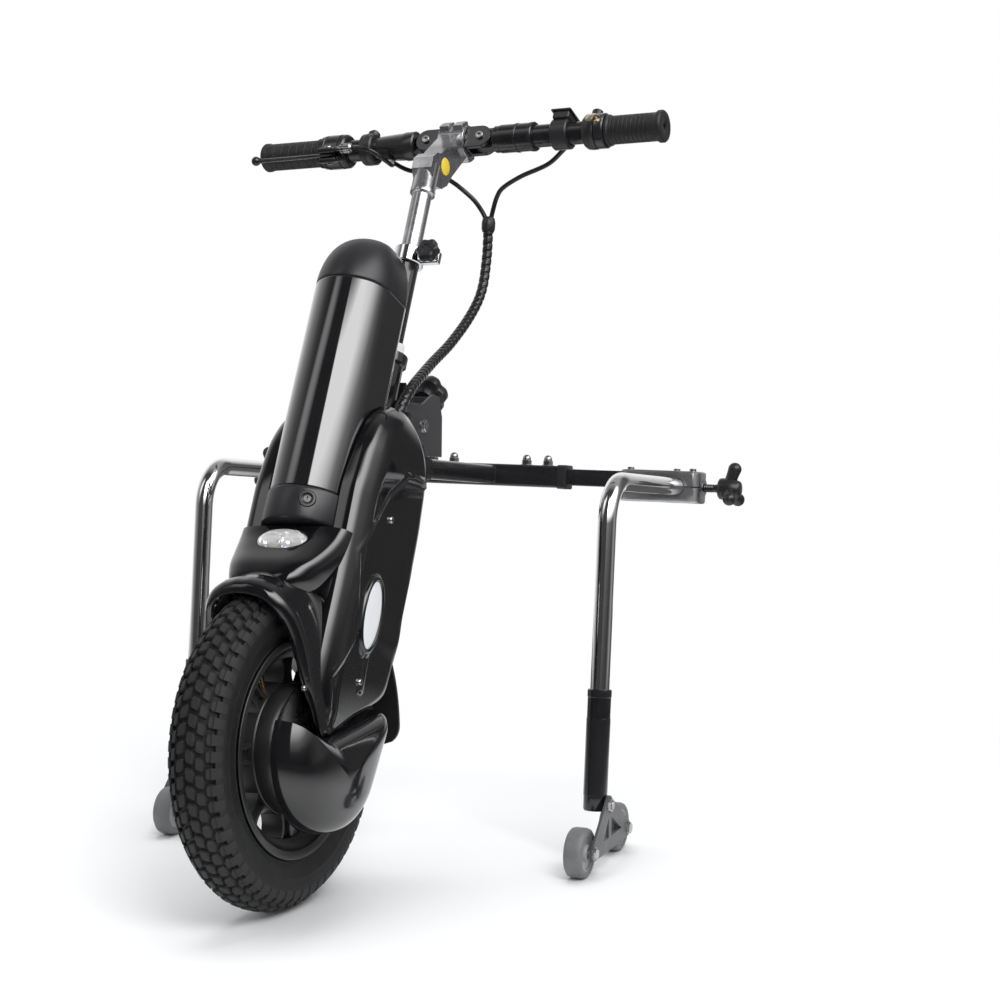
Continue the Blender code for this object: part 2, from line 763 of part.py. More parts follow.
def build_battery(frame, paint):
    def section(share, height, shift=0.0):
        centre = -(battery_forward + battery_back) / 2 + shift
        return [(x * share, centre + (y - centre) * share, height) for x, y in battery_outline()]

    body_low = battery_bottom + battery_cap_height
    body = skin_loops([section(1.0, body_low + gap), section(1.0, battery_body_top - gap)])
    make_node("battery_body", body, paint["battery_black"], frame)

    step = 1 + battery_cap_step / battery_radius
    cap_low = make_node("battery_base", skin_loops([
        section(step * 0.96, battery_bottom), section(step, battery_bottom + 0.003),
        section(step, body_low - 0.0012), section(step - 0.02, body_low)]),
        paint["dark_plastic"], frame)

    rise = battery_top - battery_body_top
    dome = [section(1.0, battery_body_top)]
    for i in range(1, 7):
        a = (pi / 2) * i / 6.6
        dome.append(section(cos(a) ** 0.72, battery_body_top + rise * sin(a), 0.008 * sin(a)))
    make_node("battery_cap", skin_loops(dome), paint["dark_plastic"], frame)

    # Key lock on the front of the base, a little to the rider's left
    lock_angle = radians(29)
    lock_radius = 0.0085
    surface = battery_radius + battery_cap_step
    outwards = Vector((sin(lock_angle), -cos(lock_angle), 0))
    centre = Vector((0, -battery_forward, battery_bottom + 0.021))
    turn = Matrix.Rotation(lock_angle, 4, "Z") @ TO_FRONT
    seat = moved(cylinder(lock_radius + gap, surface - 0.008, surface + 0.01, 16), turn, at=centre)
    cut(cap_low, seat)
    barrel = cylinder(lock_radius, surface - 0.0077, surface + 0.0016, 16, edge=0.0008)
    lock = make_node("battery_lock", moved(barrel, turn, at=centre), paint["steel"], frame,
                     origin=centre + outwards * surface)
    cut(lock, moved(box((-0.0008, -0.004, surface - 0.002), (0.0008, 0.004, surface + 0.004)),
                    turn, at=centre))


def cover_outline():
    """Side view of the hub cover, (y, z) about the axle: a disc with a tail up and back."""
    r = cover_radius
    tail, tip_radius = (0.082, 0.058), 0.009
    tangent = atan2(tail[1], tail[0]) - acos((r - tip_radius) / hypot(*tail))
    disc = arc((0, 0), r, radians(177), 2 * pi + tangent, 16)
    tip = arc(tail, tip_radius, tangent, radians(120), 4)
    return disc + tip + [(0.000, 0.0175), (-0.021, 0.0040)]


def build_cover(frame, paint):
    """The hub cover closes over the disc, the caliper and the blade's end."""
    def cap(shrink):
        focus = Vector((0.008, -0.026))
        shape = [Vector(p) for p in cover_outline()]
        limits = []
        for share, rise in ((1.0, 0.0), (0.995, 0.22), (0.965, 0.45), (0.89, 0.67), (0.76, 0.84),
                            (0.54, 0.95), (0.26, 1.0)):
            loop = []
            for p in shape:
                q = focus + (p - focus) * share
                q += (focus - q).normalized() * min(shrink, (focus - q).length * 0.5)
                loop.append((cover_side + rise * cover_bulge - shrink, -fork_offset + q.x, q.y))
            limits.append(loop)
        return skin_loops(limits)

    cover = make_node("hub_cover", cap(0.0), paint["gloss_black"], frame,
                      sharp=50)
    cut(cover, cap(cover_wall))
    cut(cover, box((blade_side - 0.0015, -fork_offset - blade_width / 2 - 0.006, -0.02),
                   (blade_side + blade_thickness + 0.0015, blade_width / 2 + 0.012, 0.12)))


# Stem, handlebar and controls

def build_stem(frame, paint):
    quill = column_bore - gap
    quill_low = column_top - quill_overlap
    bottom, top = stem_sleeve_bottom, stem_sleeve_top
    stem = make_node("stem", lathe([
        (0, quill_low), (quill - 0.001, quill_low), (quill, quill_low + 0.001), (quill, bottom),
        (stem_sleeve_radius - 0.001, bottom), (stem_sleeve_radius, bottom + 0.001),
        (stem_sleeve_radius, top - 0.006), (stem_sleeve_radius - 0.005, top), (0, top)], 20),
        paint["forged"], frame)
    centre = (bar_setback, bar_height)
    split = atan2(bar_height - top, bar_setback) + pi / 2
    hold = (clamp_radius + bar_radius) / 2
    web = [(-stem_sleeve_radius + 0.002, top - 0.020), (0.004, top - 0.036), (0.024, top - 0.028)]
    web += arc(centre, hold, split + radians(165), split + radians(15), 10)
    web += [(0.000, top + 0.002)]
    fuse(stem, side_prism(web, -stem_web, stem_web),
         ring_part(centre, bar_radius + gap, clamp_radius, split, split + pi, clamp_half_width))
    # The far half of the clamp is a separate cap
    turn = asin(gap / clamp_radius)
    make_node("stem_cap", ring_part(centre, bar_radius + gap, clamp_radius, split - pi + turn,
                                    split - turn, clamp_half_width), paint["forged"], frame)


def build_collar(frame, paint):
    low = column_top - collar_height + 0.004
    high = column_top + 0.004
    inner = column_radius + gap
    lip = column_top + gap
    collar = make_node("stem_collar", lathe([(inner, low), (collar_radius, low), (collar_radius, high),
                                             (column_bore + gap, high), (column_bore + gap, lip),
                                             (inner, lip)], 18, closed=True), paint["chrome"], frame)
    ear = box((collar_radius - 0.003, -0.007, low + 0.003), (collar_radius + 0.019, 0.007, high - 0.003))
    fuse(collar, ear)
    knob_at = (collar_radius + 0.0135, 0, (low + high) / 2)
    cut(collar, moved(cylinder(0.0028, -0.02, 0.02, 12), TO_BACK, at=knob_at))
    knob = lathe([(0, 0.0075), (0.0110, 0.0075), (0.0125, 0.0095), (0.0125, 0.0180),
                  (0.0105, 0.0200), (0, 0.0200)], 6)
    thing = make_node("stem_knob", moved(knob, TO_FRONT, at=knob_at), paint["dark_plastic"], frame,
                      origin=knob_at)
    fuse(thing, moved(cylinder(0.0025, -0.011, 0.009, 12), TO_FRONT, at=knob_at))


def build_handlebar(frame, paint):
    """The bar folds down each side of the stem on the bolt through its knuckle."""
    at = Vector((0, bar_setback, bar_height))
    half = hinge_block_size / 2
    start = clamp_half_width + gap
    root = start + hinge_web
    middle = make_node("bar_centre", moved(cylinder(bar_radius, -start - hinge_web / 2,
                                                    start + hinge_web / 2, 16), TO_X, at=at),
                       paint["black"], frame)
    knuckle = arc((bar_pivot_x(), 0), half, -pi / 2, pi / 2, 8) + [(start, half), (start, -half)]
    slot = (root, -hinge_tongue_half, -half - 0.01), (root + 0.05, hinge_tongue_half, half + 0.01)
    for side in (1, -1):
        fuse(middle, moved(flipped(front_prism(knuckle, -half, half), side), at=at))
        cut(middle, moved(flipped(box(*slot), side), at=at))
        bolt = moved(cylinder(hinge_bolt_radius, -half - 0.003, half + 0.003, 14), TO_BACK)
        fuse(middle, moved(bolt, at=at + Vector((side * bar_pivot_x(), 0, 0))))

    for side, word, grip_length in ((1, "left", throttle_grip_length), (-1, "right", brake_grip_length)):
        build_bar_half(frame, paint, side, word, grip_length)


def bar_pivot_x():
    """The knuckle and the tongue both turn with a gap inside the faces beside them."""
    return clamp_half_width + gap + hinge_web + hinge_block_size / 2 + gap


def build_bar_half(frame, paint, side, word, grip_length):
    """Drawn towards +X about the bar's own line and then mirrored to its side."""
    half = hinge_block_size / 2
    at = Vector((0, bar_setback, bar_height))
    pivot = at + Vector((side * bar_pivot_x(), 0, 0))
    shoulder = bar_pivot_x() + half + gap
    end = shoulder + hinge_block_end
    block = box((shoulder, -half, -half), (end, half, half))
    bar = make_node(f"bar_{word}", moved(flipped(block, side), at=at), paint["black"], frame, origin=pivot)
    nose = half - running
    tongue = arc((bar_pivot_x(), 0), nose, pi / 2, 3 * pi / 2, 8)
    tongue += [(shoulder + 0.001, -nose), (shoulder + 0.001, nose)]
    tongue_half = hinge_tongue_half - running
    fuse(bar, moved(flipped(front_prism(tongue, -tongue_half, tongue_half), side), at=at))
    tube_end = bar_half_length - 0.004
    fuse(bar, moved(flipped(moved(cylinder(bar_radius, end - 0.002, tube_end, 16), TO_X), side), at=at))
    sleeve = pipe(grip_radius, bar_radius - 0.002, end - 0.0015, bar_half_length - controls_length, 16)
    fuse(bar, moved(flipped(moved(sleeve, TO_X), side), at=at))
    cut(bar, moved(cylinder(hinge_bolt_radius + running, -0.03, 0.03, 14), TO_BACK, at=pivot))

    inner = bar_half_length - grip_length
    flange = grip_radius + 0.0015
    profile = [(bar_radius + gap, inner), (flange, inner), (flange, inner + 0.004),
               (grip_radius, inner + 0.005), (grip_radius, bar_half_length - 0.006),
               (flange, bar_half_length - 0.004), (flange, bar_half_length),
               (0.003, bar_half_length), (0.003, tube_end + gap), (bar_radius + gap, tube_end + gap)]
    grip = moved(lathe(profile, 16, closed=True), TO_X)
    make_node(f"grip_{word}", moved(flipped(grip, side), at=at), paint["rubber"], frame)


def build_brake(frame, paint):
    """Brake lever and its perch on the bar's right half, tipped down about the bar's line."""
    at = Vector((0, bar_setback, bar_height))
    tip = Matrix.Rotation(lever_tip_down, 4, "X")
    outer = -(bar_half_length - brake_grip_length) + gap + 0.0005
    inner = outer + perch_length
    perch = make_node("brake_perch", moved(pipe(0.0200, bar_radius + gap, outer, inner), TO_X, at=at),
                      paint["black"], frame)
    pivot = Vector((inner - 0.012, -0.030, 0))
    ear = 0.0025
    for low, high in ((-0.0090, -ear), (ear, 0.0090)):
        fuse(perch, moved(box((inner - 0.024, -0.037, low), (inner - 0.002, -0.015, high)), tip, at=at))
    barrel = moved(cylinder(0.0042, inner - 0.004, inner + 0.016, 10), TO_X, at=(0, -0.024, 0.0055))
    fuse(perch, moved(barrel, tip, at=at), moved(cylinder(0.0024, -0.0095, 0.0095, 10, 0.0004), at=pivot))
    # The pivot pin was drawn at the bar's line, so it is carried out to the lever with the rest
    pin = perch.modifiers[-1].object
    pin.matrix_local = Matrix.Translation(at) @ tip

    half = ear - running
    end = -(bar_half_length - 0.009)
    outline = arc((pivot.x, pivot.y), 0.0062, radians(-90), radians(90), 6)
    outline += [(pivot.x - 0.012, -0.026), (-0.185, -0.032), (-0.220, -0.034), (end, -0.036),
                (end, -0.042), (-0.222, -0.0425), (-0.185, -0.0425), (pivot.x - 0.010, -0.034)]
    place = Matrix.Translation(at) @ tip
    lever = make_node("brake_lever", moved(prism(outline, -half, half), place), paint["black"], frame,
                      origin=place @ pivot)
    ball = lathe([(0, -0.0055)] + [(0.0055 * cos(a), 0.0055 * sin(a)) for a in
                                   (radians(-50), 0.0, radians(50))] + [(0, 0.0055)], 10)
    fuse(lever, moved(moved(ball, at=(end, -0.039, 0)), place))
    cut(lever, moved(moved(cylinder(0.0024 + gap, -0.02, 0.02, 10), at=pivot), place))


def build_controls(frame, paint):
    at = Vector((0, bar_setback, bar_height))
    hold = bar_radius + gap

    # Horn and light switch beside the brake perch
    right = -(bar_half_length - brake_grip_length) + perch_length + 0.020
    housing = make_node("switch_housing", moved(pipe(0.0185, hold, right, right + switch_length, 16), TO_X, at=at),
                        paint["black_plastic"], frame)
    button_at = at + Vector((right + switch_length / 2, 0, 0))
    fuse(housing, moved(cylinder(0.0070, 0.014, 0.0225, 12), at=button_at))
    cut(housing, moved(cylinder(0.0045 + gap, 0.0198 - horn_travel - gap, 0.03, 12), at=button_at))
    make_node("horn_button", moved(cylinder(0.0045, 0.0198, 0.0245, 12, edge=0.0005), at=button_at),
              paint["red"], frame, origin=button_at + Vector((0, 0, 0.0225)))

    # Battery display on its bracket, inboard of the throttle
    high = bar_half_length - throttle_grip_length - throttle_length - 0.011
    low = high - display_length
    display = make_node("display", moved(pipe(0.0175, hold, low + 0.006, high - 0.008, 16), TO_X, at=at),
                        paint["black_plastic"], frame)
    fuse(display, moved(box((low, -0.020, 0.0155), (high, 0.012, 0.0300)), at=at))

    # Thumb throttle next to the left grip
    start = bar_half_length - throttle_grip_length - throttle_length
    end = bar_half_length - throttle_grip_length - gap
    body = pipe(0.0200, hold, start, start + throttle_body, 16)
    throttle = make_node("throttle_housing", moved(body, TO_X, at=at), paint["black_plastic"], frame)
    fuse(throttle, moved(cylinder(0.0065, 0.015, 0.030, 12, edge=0.002),
                         at=at + Vector((start + throttle_body / 2, 0.004, 0))))
    paddle_low = start + throttle_body + gap
    collar = pipe(0.0195, hold + 0.0002, paddle_low, end, 16)
    paddle = make_node("throttle_paddle", moved(collar, TO_X, at=at), paint["chrome"], frame, origin=at)
    thumb = [(-0.018, -0.004), (-0.022, 0.006), (-0.036, 0.000), (-0.042, -0.010), (-0.040, -0.013),
             (-0.030, -0.008)]
    fuse(paddle, moved(side_prism(thumb, paddle_low, end), at=at))


def build_cables(frame, paint):
    """A spiral-wrapped bundle from the shell's top to the stem, and the leads that join it."""
    cups, bar = head_tube_top, bar_height
    bundle = smooth_path([
        (0.0388, -0.0209, shell_top - 0.0245), (0.0402, -0.0204, shell_top + 0.0101),
        (0.0399, -0.0071, shell_top + 0.0424), (0.0270, 0.0450, cups + 0.0210),
        (0.0212, 0.0878, cups + 0.0679), (0.018, bar_setback + 0.074, bar - 0.1836),
        (0.018, bar_setback + 0.089, bar - 0.1436), (0.018, bar_setback + 0.086, bar - 0.1026),
        (0.018, bar_setback + 0.074, bar - 0.0616)], 3)
    make_node("cable_bundle", rod(bundle, 0.0062, 8), paint["cable"], frame)

    # Each lead runs from the bundle's top to the underside of its bar half
    back = bar_setback
    sleeve_end = bar_half_length - controls_length
    to_brake = smooth_path([
        (0.010, back + 0.0680, bar - 0.0506), (-0.002, back + 0.054, bar - 0.0376),
        (-0.030, back + 0.036, bar - 0.0216), (-0.070, back + 0.024, bar - 0.0166),
        (0.004 - sleeve_end, back + 0.0225, bar - 0.0041)], 4)
    make_node("brake_cable", rod(to_brake, 0.0030, 6), paint["cable"], frame)
    to_throttle = smooth_path([
        (0.024, back + 0.0690, bar - 0.0516), (0.040, back + 0.060, bar - 0.0366),
        (0.075, back + 0.048, bar - 0.0276), (sleeve_end + 0.009, back + 0.034, bar - 0.0176),
        (sleeve_end + 0.027, back + 0.0225, bar - 0.0036)], 4)
    make_node("throttle_cable", rod(to_throttle, 0.0028, 6), paint["cable"], frame)


# Head tube and tilt bracket

def head_point(back, up):
    """A point of the rear frame's own axes, carried into the head's axes, as (y, z)."""
    y = frame_back + back * cos(frame_pitch) + up * sin(frame_pitch)
    z = frame_height - back * sin(frame_pitch) + up * cos(frame_pitch)
    y -= axis_foot_back
    z -= axis_foot_height
    lean = steering_lean
    return (y * cos(lean) - z * sin(lean), y * sin(lean) + z * cos(lean))


def build_head(frame, paint):
    low, high = head_tube_bottom, head_tube_top
    bore, wall = column_radius + running, head_tube_radius
    cup, cup_height = headset_cup_radius, headset_cup_height
    profile = [(bore, low), (cup, low), (cup, low + cup_height), (wall, low + cup_height + 0.003),
               (wall, high - 0.003), (cup, high), (cup, high + cup_height), (bore, high + cup_height)]
    head = make_node("head_tube", lathe(profile, 20, closed=True), paint["black"], frame)
    y, z = head_point(pivot_back, pivot_up)
    lug_half = plate_inner - running
    boss = arc((y, z), 0.0115, radians(-75), radians(105), 8)
    root = (head_tube_radius + column_radius) / 2
    lug = boss + [(root, z + 0.026), (root, z - 0.034)]
    fuse(head, side_prism(lug, -lug_half, lug_half))
    pin_y, pin_z = slot_pin_place()
    pin_half = plate_inner + plate_thickness + 0.0060
    fuse(head, moved(cylinder(slot_pin_radius, -pin_half, pin_half, 14), TO_X, at=(0, pin_y, pin_z)))
    cut(head, moved(cylinder(0.0045 + running, -0.05, 0.05, 16), TO_X, at=(0, y, z)))


def slot_pin_place():
    """The pin that rides in the plates' curved slots, in the head's axes."""
    y, z = head_point(pivot_back, pivot_up)
    ahead_y, ahead_z = head_point(pivot_back - slot_radius, pivot_up + 0.008)
    length = hypot(ahead_y - y, ahead_z - z)
    return (y + (ahead_y - y) * slot_radius / length, z + (ahead_z - z) * slot_radius / length)


def build_bracket(frame, paint):
    """Two plates on one folded web: the head's lug pivots between them."""
    back, up = pivot_back, pivot_up
    front = back - slot_radius - 0.020
    rear = back + 0.057
    seat = arm_height / 2 + saddle_wall + gap
    outline = [(front, up - 0.012), (front + 0.006, up - 0.020), (back - 0.020, up - 0.022),
               (back + 0.002, up - 0.020), (back + 0.016, up - 0.034), (back + 0.018, seat),
               (rear, seat), (rear - 0.004, up + 0.012), (rear - 0.014, up + 0.034),
               (back + 0.026, up + 0.036), (back - 0.002, up + 0.0235), (back - 0.034, up + 0.0235),
               (front + 0.012, up + 0.0255), (front + 0.002, up + 0.018), (front, up + 0.010)]
    plates = side_prism(outline, -plate_inner - plate_thickness, plate_inner + plate_thickness)
    bracket = make_node("tilt_bracket", plates, paint["grey_metal"], frame)
    web_top = seat + plate_thickness
    inner = box((-plate_inner, front - 0.01, web_top), (plate_inner, rear - 0.026, up + 0.06))
    cut(bracket, inner)
    cut(bracket, box((-plate_inner, rear - 0.03, web_top), (plate_inner, rear + 0.02, up + 0.010)))
    hole = moved(cylinder(0.0045 + gap, -0.05, 0.05, 12), TO_X, at=(0, back, up))
    cut(bracket, hole)
    start = atan2(0.008, -slot_radius)
    slot = []
    half = slot_pin_radius + running
    sweep_angle = tilt_range + asin((slot_pin_radius + rubbing) / slot_radius)
    slot += arc((back, up), slot_radius + half, start - sweep_angle, start + sweep_angle, 5)
    slot += arc((back, up), slot_radius - half, start + sweep_angle, start - sweep_angle, 5)
    cut(bracket, side_prism(slot, -0.05, 0.05))
    screw_at = screw_place()
    cut(bracket, moved(cylinder(0.004 + running, -0.05, 0.05, 16), screw_turn(), at=screw_at))

    bolt_half = plate_inner + plate_thickness + gap
    bolt = lathe([(0, -bolt_half - 0.004), (0.0075, -bolt_half - 0.004), (0.0075, -bolt_half),
                  (0.0045, -bolt_half), (0.0045, bolt_half), (0.0075, bolt_half),
                  (0.0075, bolt_half + 0.004), (0, bolt_half + 0.004)], 12)
    make_node("pivot_bolt", moved(bolt, TO_X), paint["steel"], frame).location = (0, back, up)

    knob = lathe([(0, -0.020), (0.004, -0.020), (0.004, 0.0105), (0.0110, 0.0105),
                  (0.0150, 0.016), (0.0225, 0.018), (0.0235, 0.022), (0.0235, 0.030),
                  (0.0215, 0.032), (0, 0.032)], 20)
    screw = make_node("tilt_knob", moved(knob, screw_turn(), at=screw_at), paint["black_plastic"], frame,
                      origin=screw_at)
    for i in range(6):
        a = 2 * pi * i / 6
        scoop = moved(cylinder(0.0045, 0.012, 0.04, 8), at=(0.0265 * cos(a), 0.0265 * sin(a), 0))
        cut(screw, moved(scoop, screw_turn(), at=screw_at))


def screw_place():
    return (0, pivot_back + 0.042, pivot_up + 0.0255)


def screw_turn():
    return Matrix.Rotation(radians(29), 4, "X") @ TO_BACK


# Cross tube, slides and clamps

def build_frame(frame, paint):
    half = cross_size / 2
    bore = half - cross_wall
    outline = rounded_outline(half, -half, half, 0.003, 0.003, 2)
    cross = moved(prism(outline, -cross_half_length, cross_half_length), TO_X)
    tube = make_node("cross_frame", cross, paint["black"], frame)
    across, up = arm_width / 2, arm_height / 2
    section = rounded_outline(across, -up, up, 0.004, 0.004, 2)
    nose = [(0, arm_straight_end - 0.055 * sin(a), -0.055 * (1 - cos(a)))
            for a in (radians(14 * i) for i in range(1, 5))]
    path = [(0, 0.0, 0.0), (0, arm_straight_end / 2, 0.0), (0, arm_straight_end, 0.0)] + nose
    fuse(tube, sweep(path, section))
    # A welded saddle round the arm carries the tilt bracket
    across, up = arm_width / 2 + saddle_wall, arm_height / 2 + saddle_wall
    saddle = rounded_outline(across, -up, up, 0.004, 0.004, 2)
    fuse(tube, sweep([(0, saddle_back, 0), (0, saddle_front, 0)], saddle))
    bore_outline = rounded_outline(bore, -bore, bore, 0.001, 0.001, 1)
    cut(tube, moved(prism(bore_outline, -cross_half_length - 0.01, cross_half_length + 0.01), TO_X))
    for side in (1, -1):
        for place in (0.047, 0.074):
            nut = lathe([(0, half - 0.001), (0.0065, half - 0.001), (0.0065, half + 0.006),
                         (0.0048, half + 0.0085), (0.0032, half + 0.0130), (0, half + 0.014)], 8)
            fuse(tube, moved(nut, at=(side * place, 0, 0)))


def build_clamp(frame, paint, side, word):
    """Everything that slides out of one end of the cross tube, drawn for +X and mirrored."""
    half = cross_size / 2 - cross_wall - gap
    inner = cross_half_length - slide_overlap
    outline = rounded_outline(half, -half, half, 0.0015, 0.0015, 1)
    slide = moved(prism(outline, inner, block_left + 0.012), TO_X)
    slide_origin = (side * cross_half_length, 0, 0)
    make_node(f"slide_tube_{word}", flipped(slide, side), paint["black"], frame, origin=slide_origin)

    y0, y1 = -block_depth / 2, block_depth / 2
    z0, z1 = -block_drop - block_height / 2, -block_drop + block_height / 2
    corner = 0.006
    outline = rounded_outline((block_right - block_left) / 2, y0, y1, corner, corner, 3)
    block = prism([(x + block_middle, y) for x, y in outline], z0, z1)
    clamp = make_node(f"clamp_block_{word}", flipped(block, side), paint["cast_aluminium"], frame)
    socket = moved(prism(rounded_outline(half + gap, -half - gap, half + gap, 0.0015, 0.0015, 1),
                         block_left - 0.01, block_left + 0.012 + gap), TO_X)
    channel = box((channel_left, y1 - channel_depth, z0 - 0.01),
                  (channel_left + channel_width, y1 + 0.02, z1 + 0.01))
    leg_hole = moved(cylinder(leg_radius + gap, y0 - 0.01, -0.0055, 20), TO_BACK,
                     at=(leg_side, 0, -block_drop))
    screw_hole = moved(cylinder(screw_radius + running, channel_left + channel_width - 0.01,
                                block_right + 0.01, 18), TO_X, at=(0, screw_back, -block_drop))
    cut(clamp, *[flipped(tool, side) for tool in (socket, channel, leg_hole, screw_hole)])

    jaw_right = channel_left + channel_width - gap
    jaw_left = jaw_right - jaw_thickness
    jaw_front = y1 - channel_depth + running
    grip = side_prism([(jaw_front, z0 + 0.002), (y1 - 0.003, z0 + 0.002), (y1 - 0.003, z1 - 0.002),
                       (jaw_front, z1 - 0.002)], jaw_left, jaw_right)
    make_node(f"clamp_jaw_{word}", flipped(grip, side), paint["rubber"], frame,
              origin=(side * jaw_right, screw_back, -block_drop))

    start = block_right + screw_free_length
    hub_end = start + knob_hub_length
    screw = [(0, jaw_right + gap), (screw_radius, jaw_right + gap), (screw_radius, start),
             (knob_hub_radius, start), (knob_hub_radius, hub_end), (knob_hub_radius * 0.8, hub_end + 0.010),
             (0, hub_end + 0.012)]
    axis = (0, screw_back, -block_drop)
    knob = make_node(f"clamp_knob_{word}", flipped(moved(lathe(screw, 16), TO_X, at=axis), side),
                     paint["black_plastic"], frame, origin=(side * start, screw_back, -block_drop))
    for i in range(knob_arm_count):
        a = radians(90) + 2 * pi * i / knob_arm_count
        reach = knob_arm_reach - knob_arm_radius
        tip = Vector((hub_end + 0.006, reach * cos(a), reach * sin(a)))
        base = Vector((hub_end - 0.004, 0, 0))
        arm = rod([base, tip, tip + (tip - base).normalized() * knob_arm_radius * 0.9],
                  knob_arm_radius, 8)
        fuse(knob, flipped(moved(arm, at=axis), side))


# Stand legs and casters

def build_leg(frame, paint, side, word):
    socket_end = -0.0055 - gap
    low = -leg_rest_extension() - sleeve_overlap
    path = bend_path((leg_side, socket_end, -block_drop), (leg_side, -leg_forward, -block_drop),
                     (leg_side, -leg_forward, low), leg_bend, 5)
    leg = bent_pipe(path, leg_radius, leg_radius - leg_wall, 12)
    make_node(f"stand_leg_{word}", flipped(leg, side), paint["chrome"], frame)

    top = -leg_rest_extension()
    bottom = top - sleeve_length
    axis = (leg_side, -leg_forward, 0)
    inner = leg_radius + gap
    sleeve = make_node(f"leg_sleeve_{word}", flipped(moved(pipe(sleeve_radius, inner, bottom, top, 24),
                                                           at=axis), side),
                       paint["black_plastic"], frame, origin=(side * leg_side, -leg_forward, top))
    fuse(sleeve, flipped(moved(moved(cylinder(0.0042, sleeve_radius - 0.002, sleeve_radius + 0.007, 10),
                                     TO_BACK), at=(leg_side, -leg_forward, top - 0.016)), side),
         flipped(bogie_stud(bottom), side))

    pivot = bogie_pivot()
    build_bogie(frame, paint, side, word, pivot)


def leg_rest_extension():
    """How far below the run the sleeve's top stands when both casters are on the floor."""
    pivot_height = bogie_drop + caster_radius
    drop = (frame_height + leg_forward * sin(frame_pitch) - pivot_height) / cos(frame_pitch)
    return drop - sleeve_length + 0.007


def bogie_pivot():
    """The bogie's pivot on the sleeve, in the rear frame's axes."""
    return (leg_side, -leg_forward, -leg_rest_extension() - sleeve_length + 0.007)


def bogie_plate_side():
    return leg_side + sleeve_radius + 0.0008


def bogie_stud(bottom):
    outer = bogie_plate_side() - leg_side + bogie_plate + 0.004
    stud = moved(cylinder(0.0045, sleeve_radius - 0.0018, outer, 14), TO_X)
    return moved(stud, at=(leg_side, -leg_forward, bottom + 0.007))


def build_bogie(frame, paint, side, word, pivot):
    """A triangular plate beside the sleeve with a caster at its front and rear corners."""
    level = Matrix.Rotation(frame_pitch, 4, "X")
    place = make_frame(f"bogie_{word}_pivot", frame, Matrix.Translation(mirrored(pivot, side)) @ level)
    low = bogie_plate_side() - leg_side
    high = low + bogie_plate
    r = 0.0085
    front, rear = (caster_front, -bogie_drop), (caster_rear, -bogie_drop)
    apex = (0.0, 0.0)
    outline = arc(apex, 0.010, radians(35), radians(150), 5)
    outline += arc(front, r, radians(150), radians(270), 5)
    outline += arc(rear, r, radians(-90), radians(35), 5)
    plate = make_node(f"bogie_plate_{word}", flipped(side_prism(outline, low, high), side),
                      paint["grey_metal"], place)
    window = [(-0.020, -0.034), (-0.003, -0.034), (-0.003, -0.014)]
    window_rear = [(0.006, -0.034), (0.040, -0.034), (0.006, -0.014)]
    bolt_hole = moved(cylinder(0.0045 + gap, low - 0.01, high + 0.01, 14), TO_X)
    cut(plate, flipped(side_prism(window, low - 0.01, high + 0.01), side),
        flipped(side_prism(window_rear, low - 0.01, high + 0.01), side), flipped(bolt_hole, side))
    pin_radius = 0.004
    for y, z in (front, rear):
        pin = lathe([(0, -caster_width / 2 - 0.003), (0.0065, -caster_width / 2 - 0.003),
                     (0.0065, -caster_width / 2 - running), (pin_radius, -caster_width / 2 - running),
                     (pin_radius, low + 0.001), (0.0065, high - 0.001), (0.0065, high + 0.0035),
                     (0, high + 0.0035)], 8)
        fuse(plate, flipped(moved(pin, TO_X, at=(0, y, z)), side))
    for end, (y, z) in (("front", front), ("rear", rear)):
        w = caster_width / 2
        wheel = lathe([(pin_radius + running, -w), (0.0150, -w), (0.0185, -w + 0.0020),
                       (caster_radius - 0.003, -w), (caster_radius, -w + 0.003),
                       (caster_radius, w - 0.003), (caster_radius - 0.003, w),
                       (0.0185, w - 0.0020), (0.0150, w), (pin_radius + running, w)],
                      14, closed=True)
        make_node(f"caster_{end}_{word}", moved(wheel, TO_X, at=(0, y, z)), paint["grey_rubber"], place,
                  origin=(0, y, z))


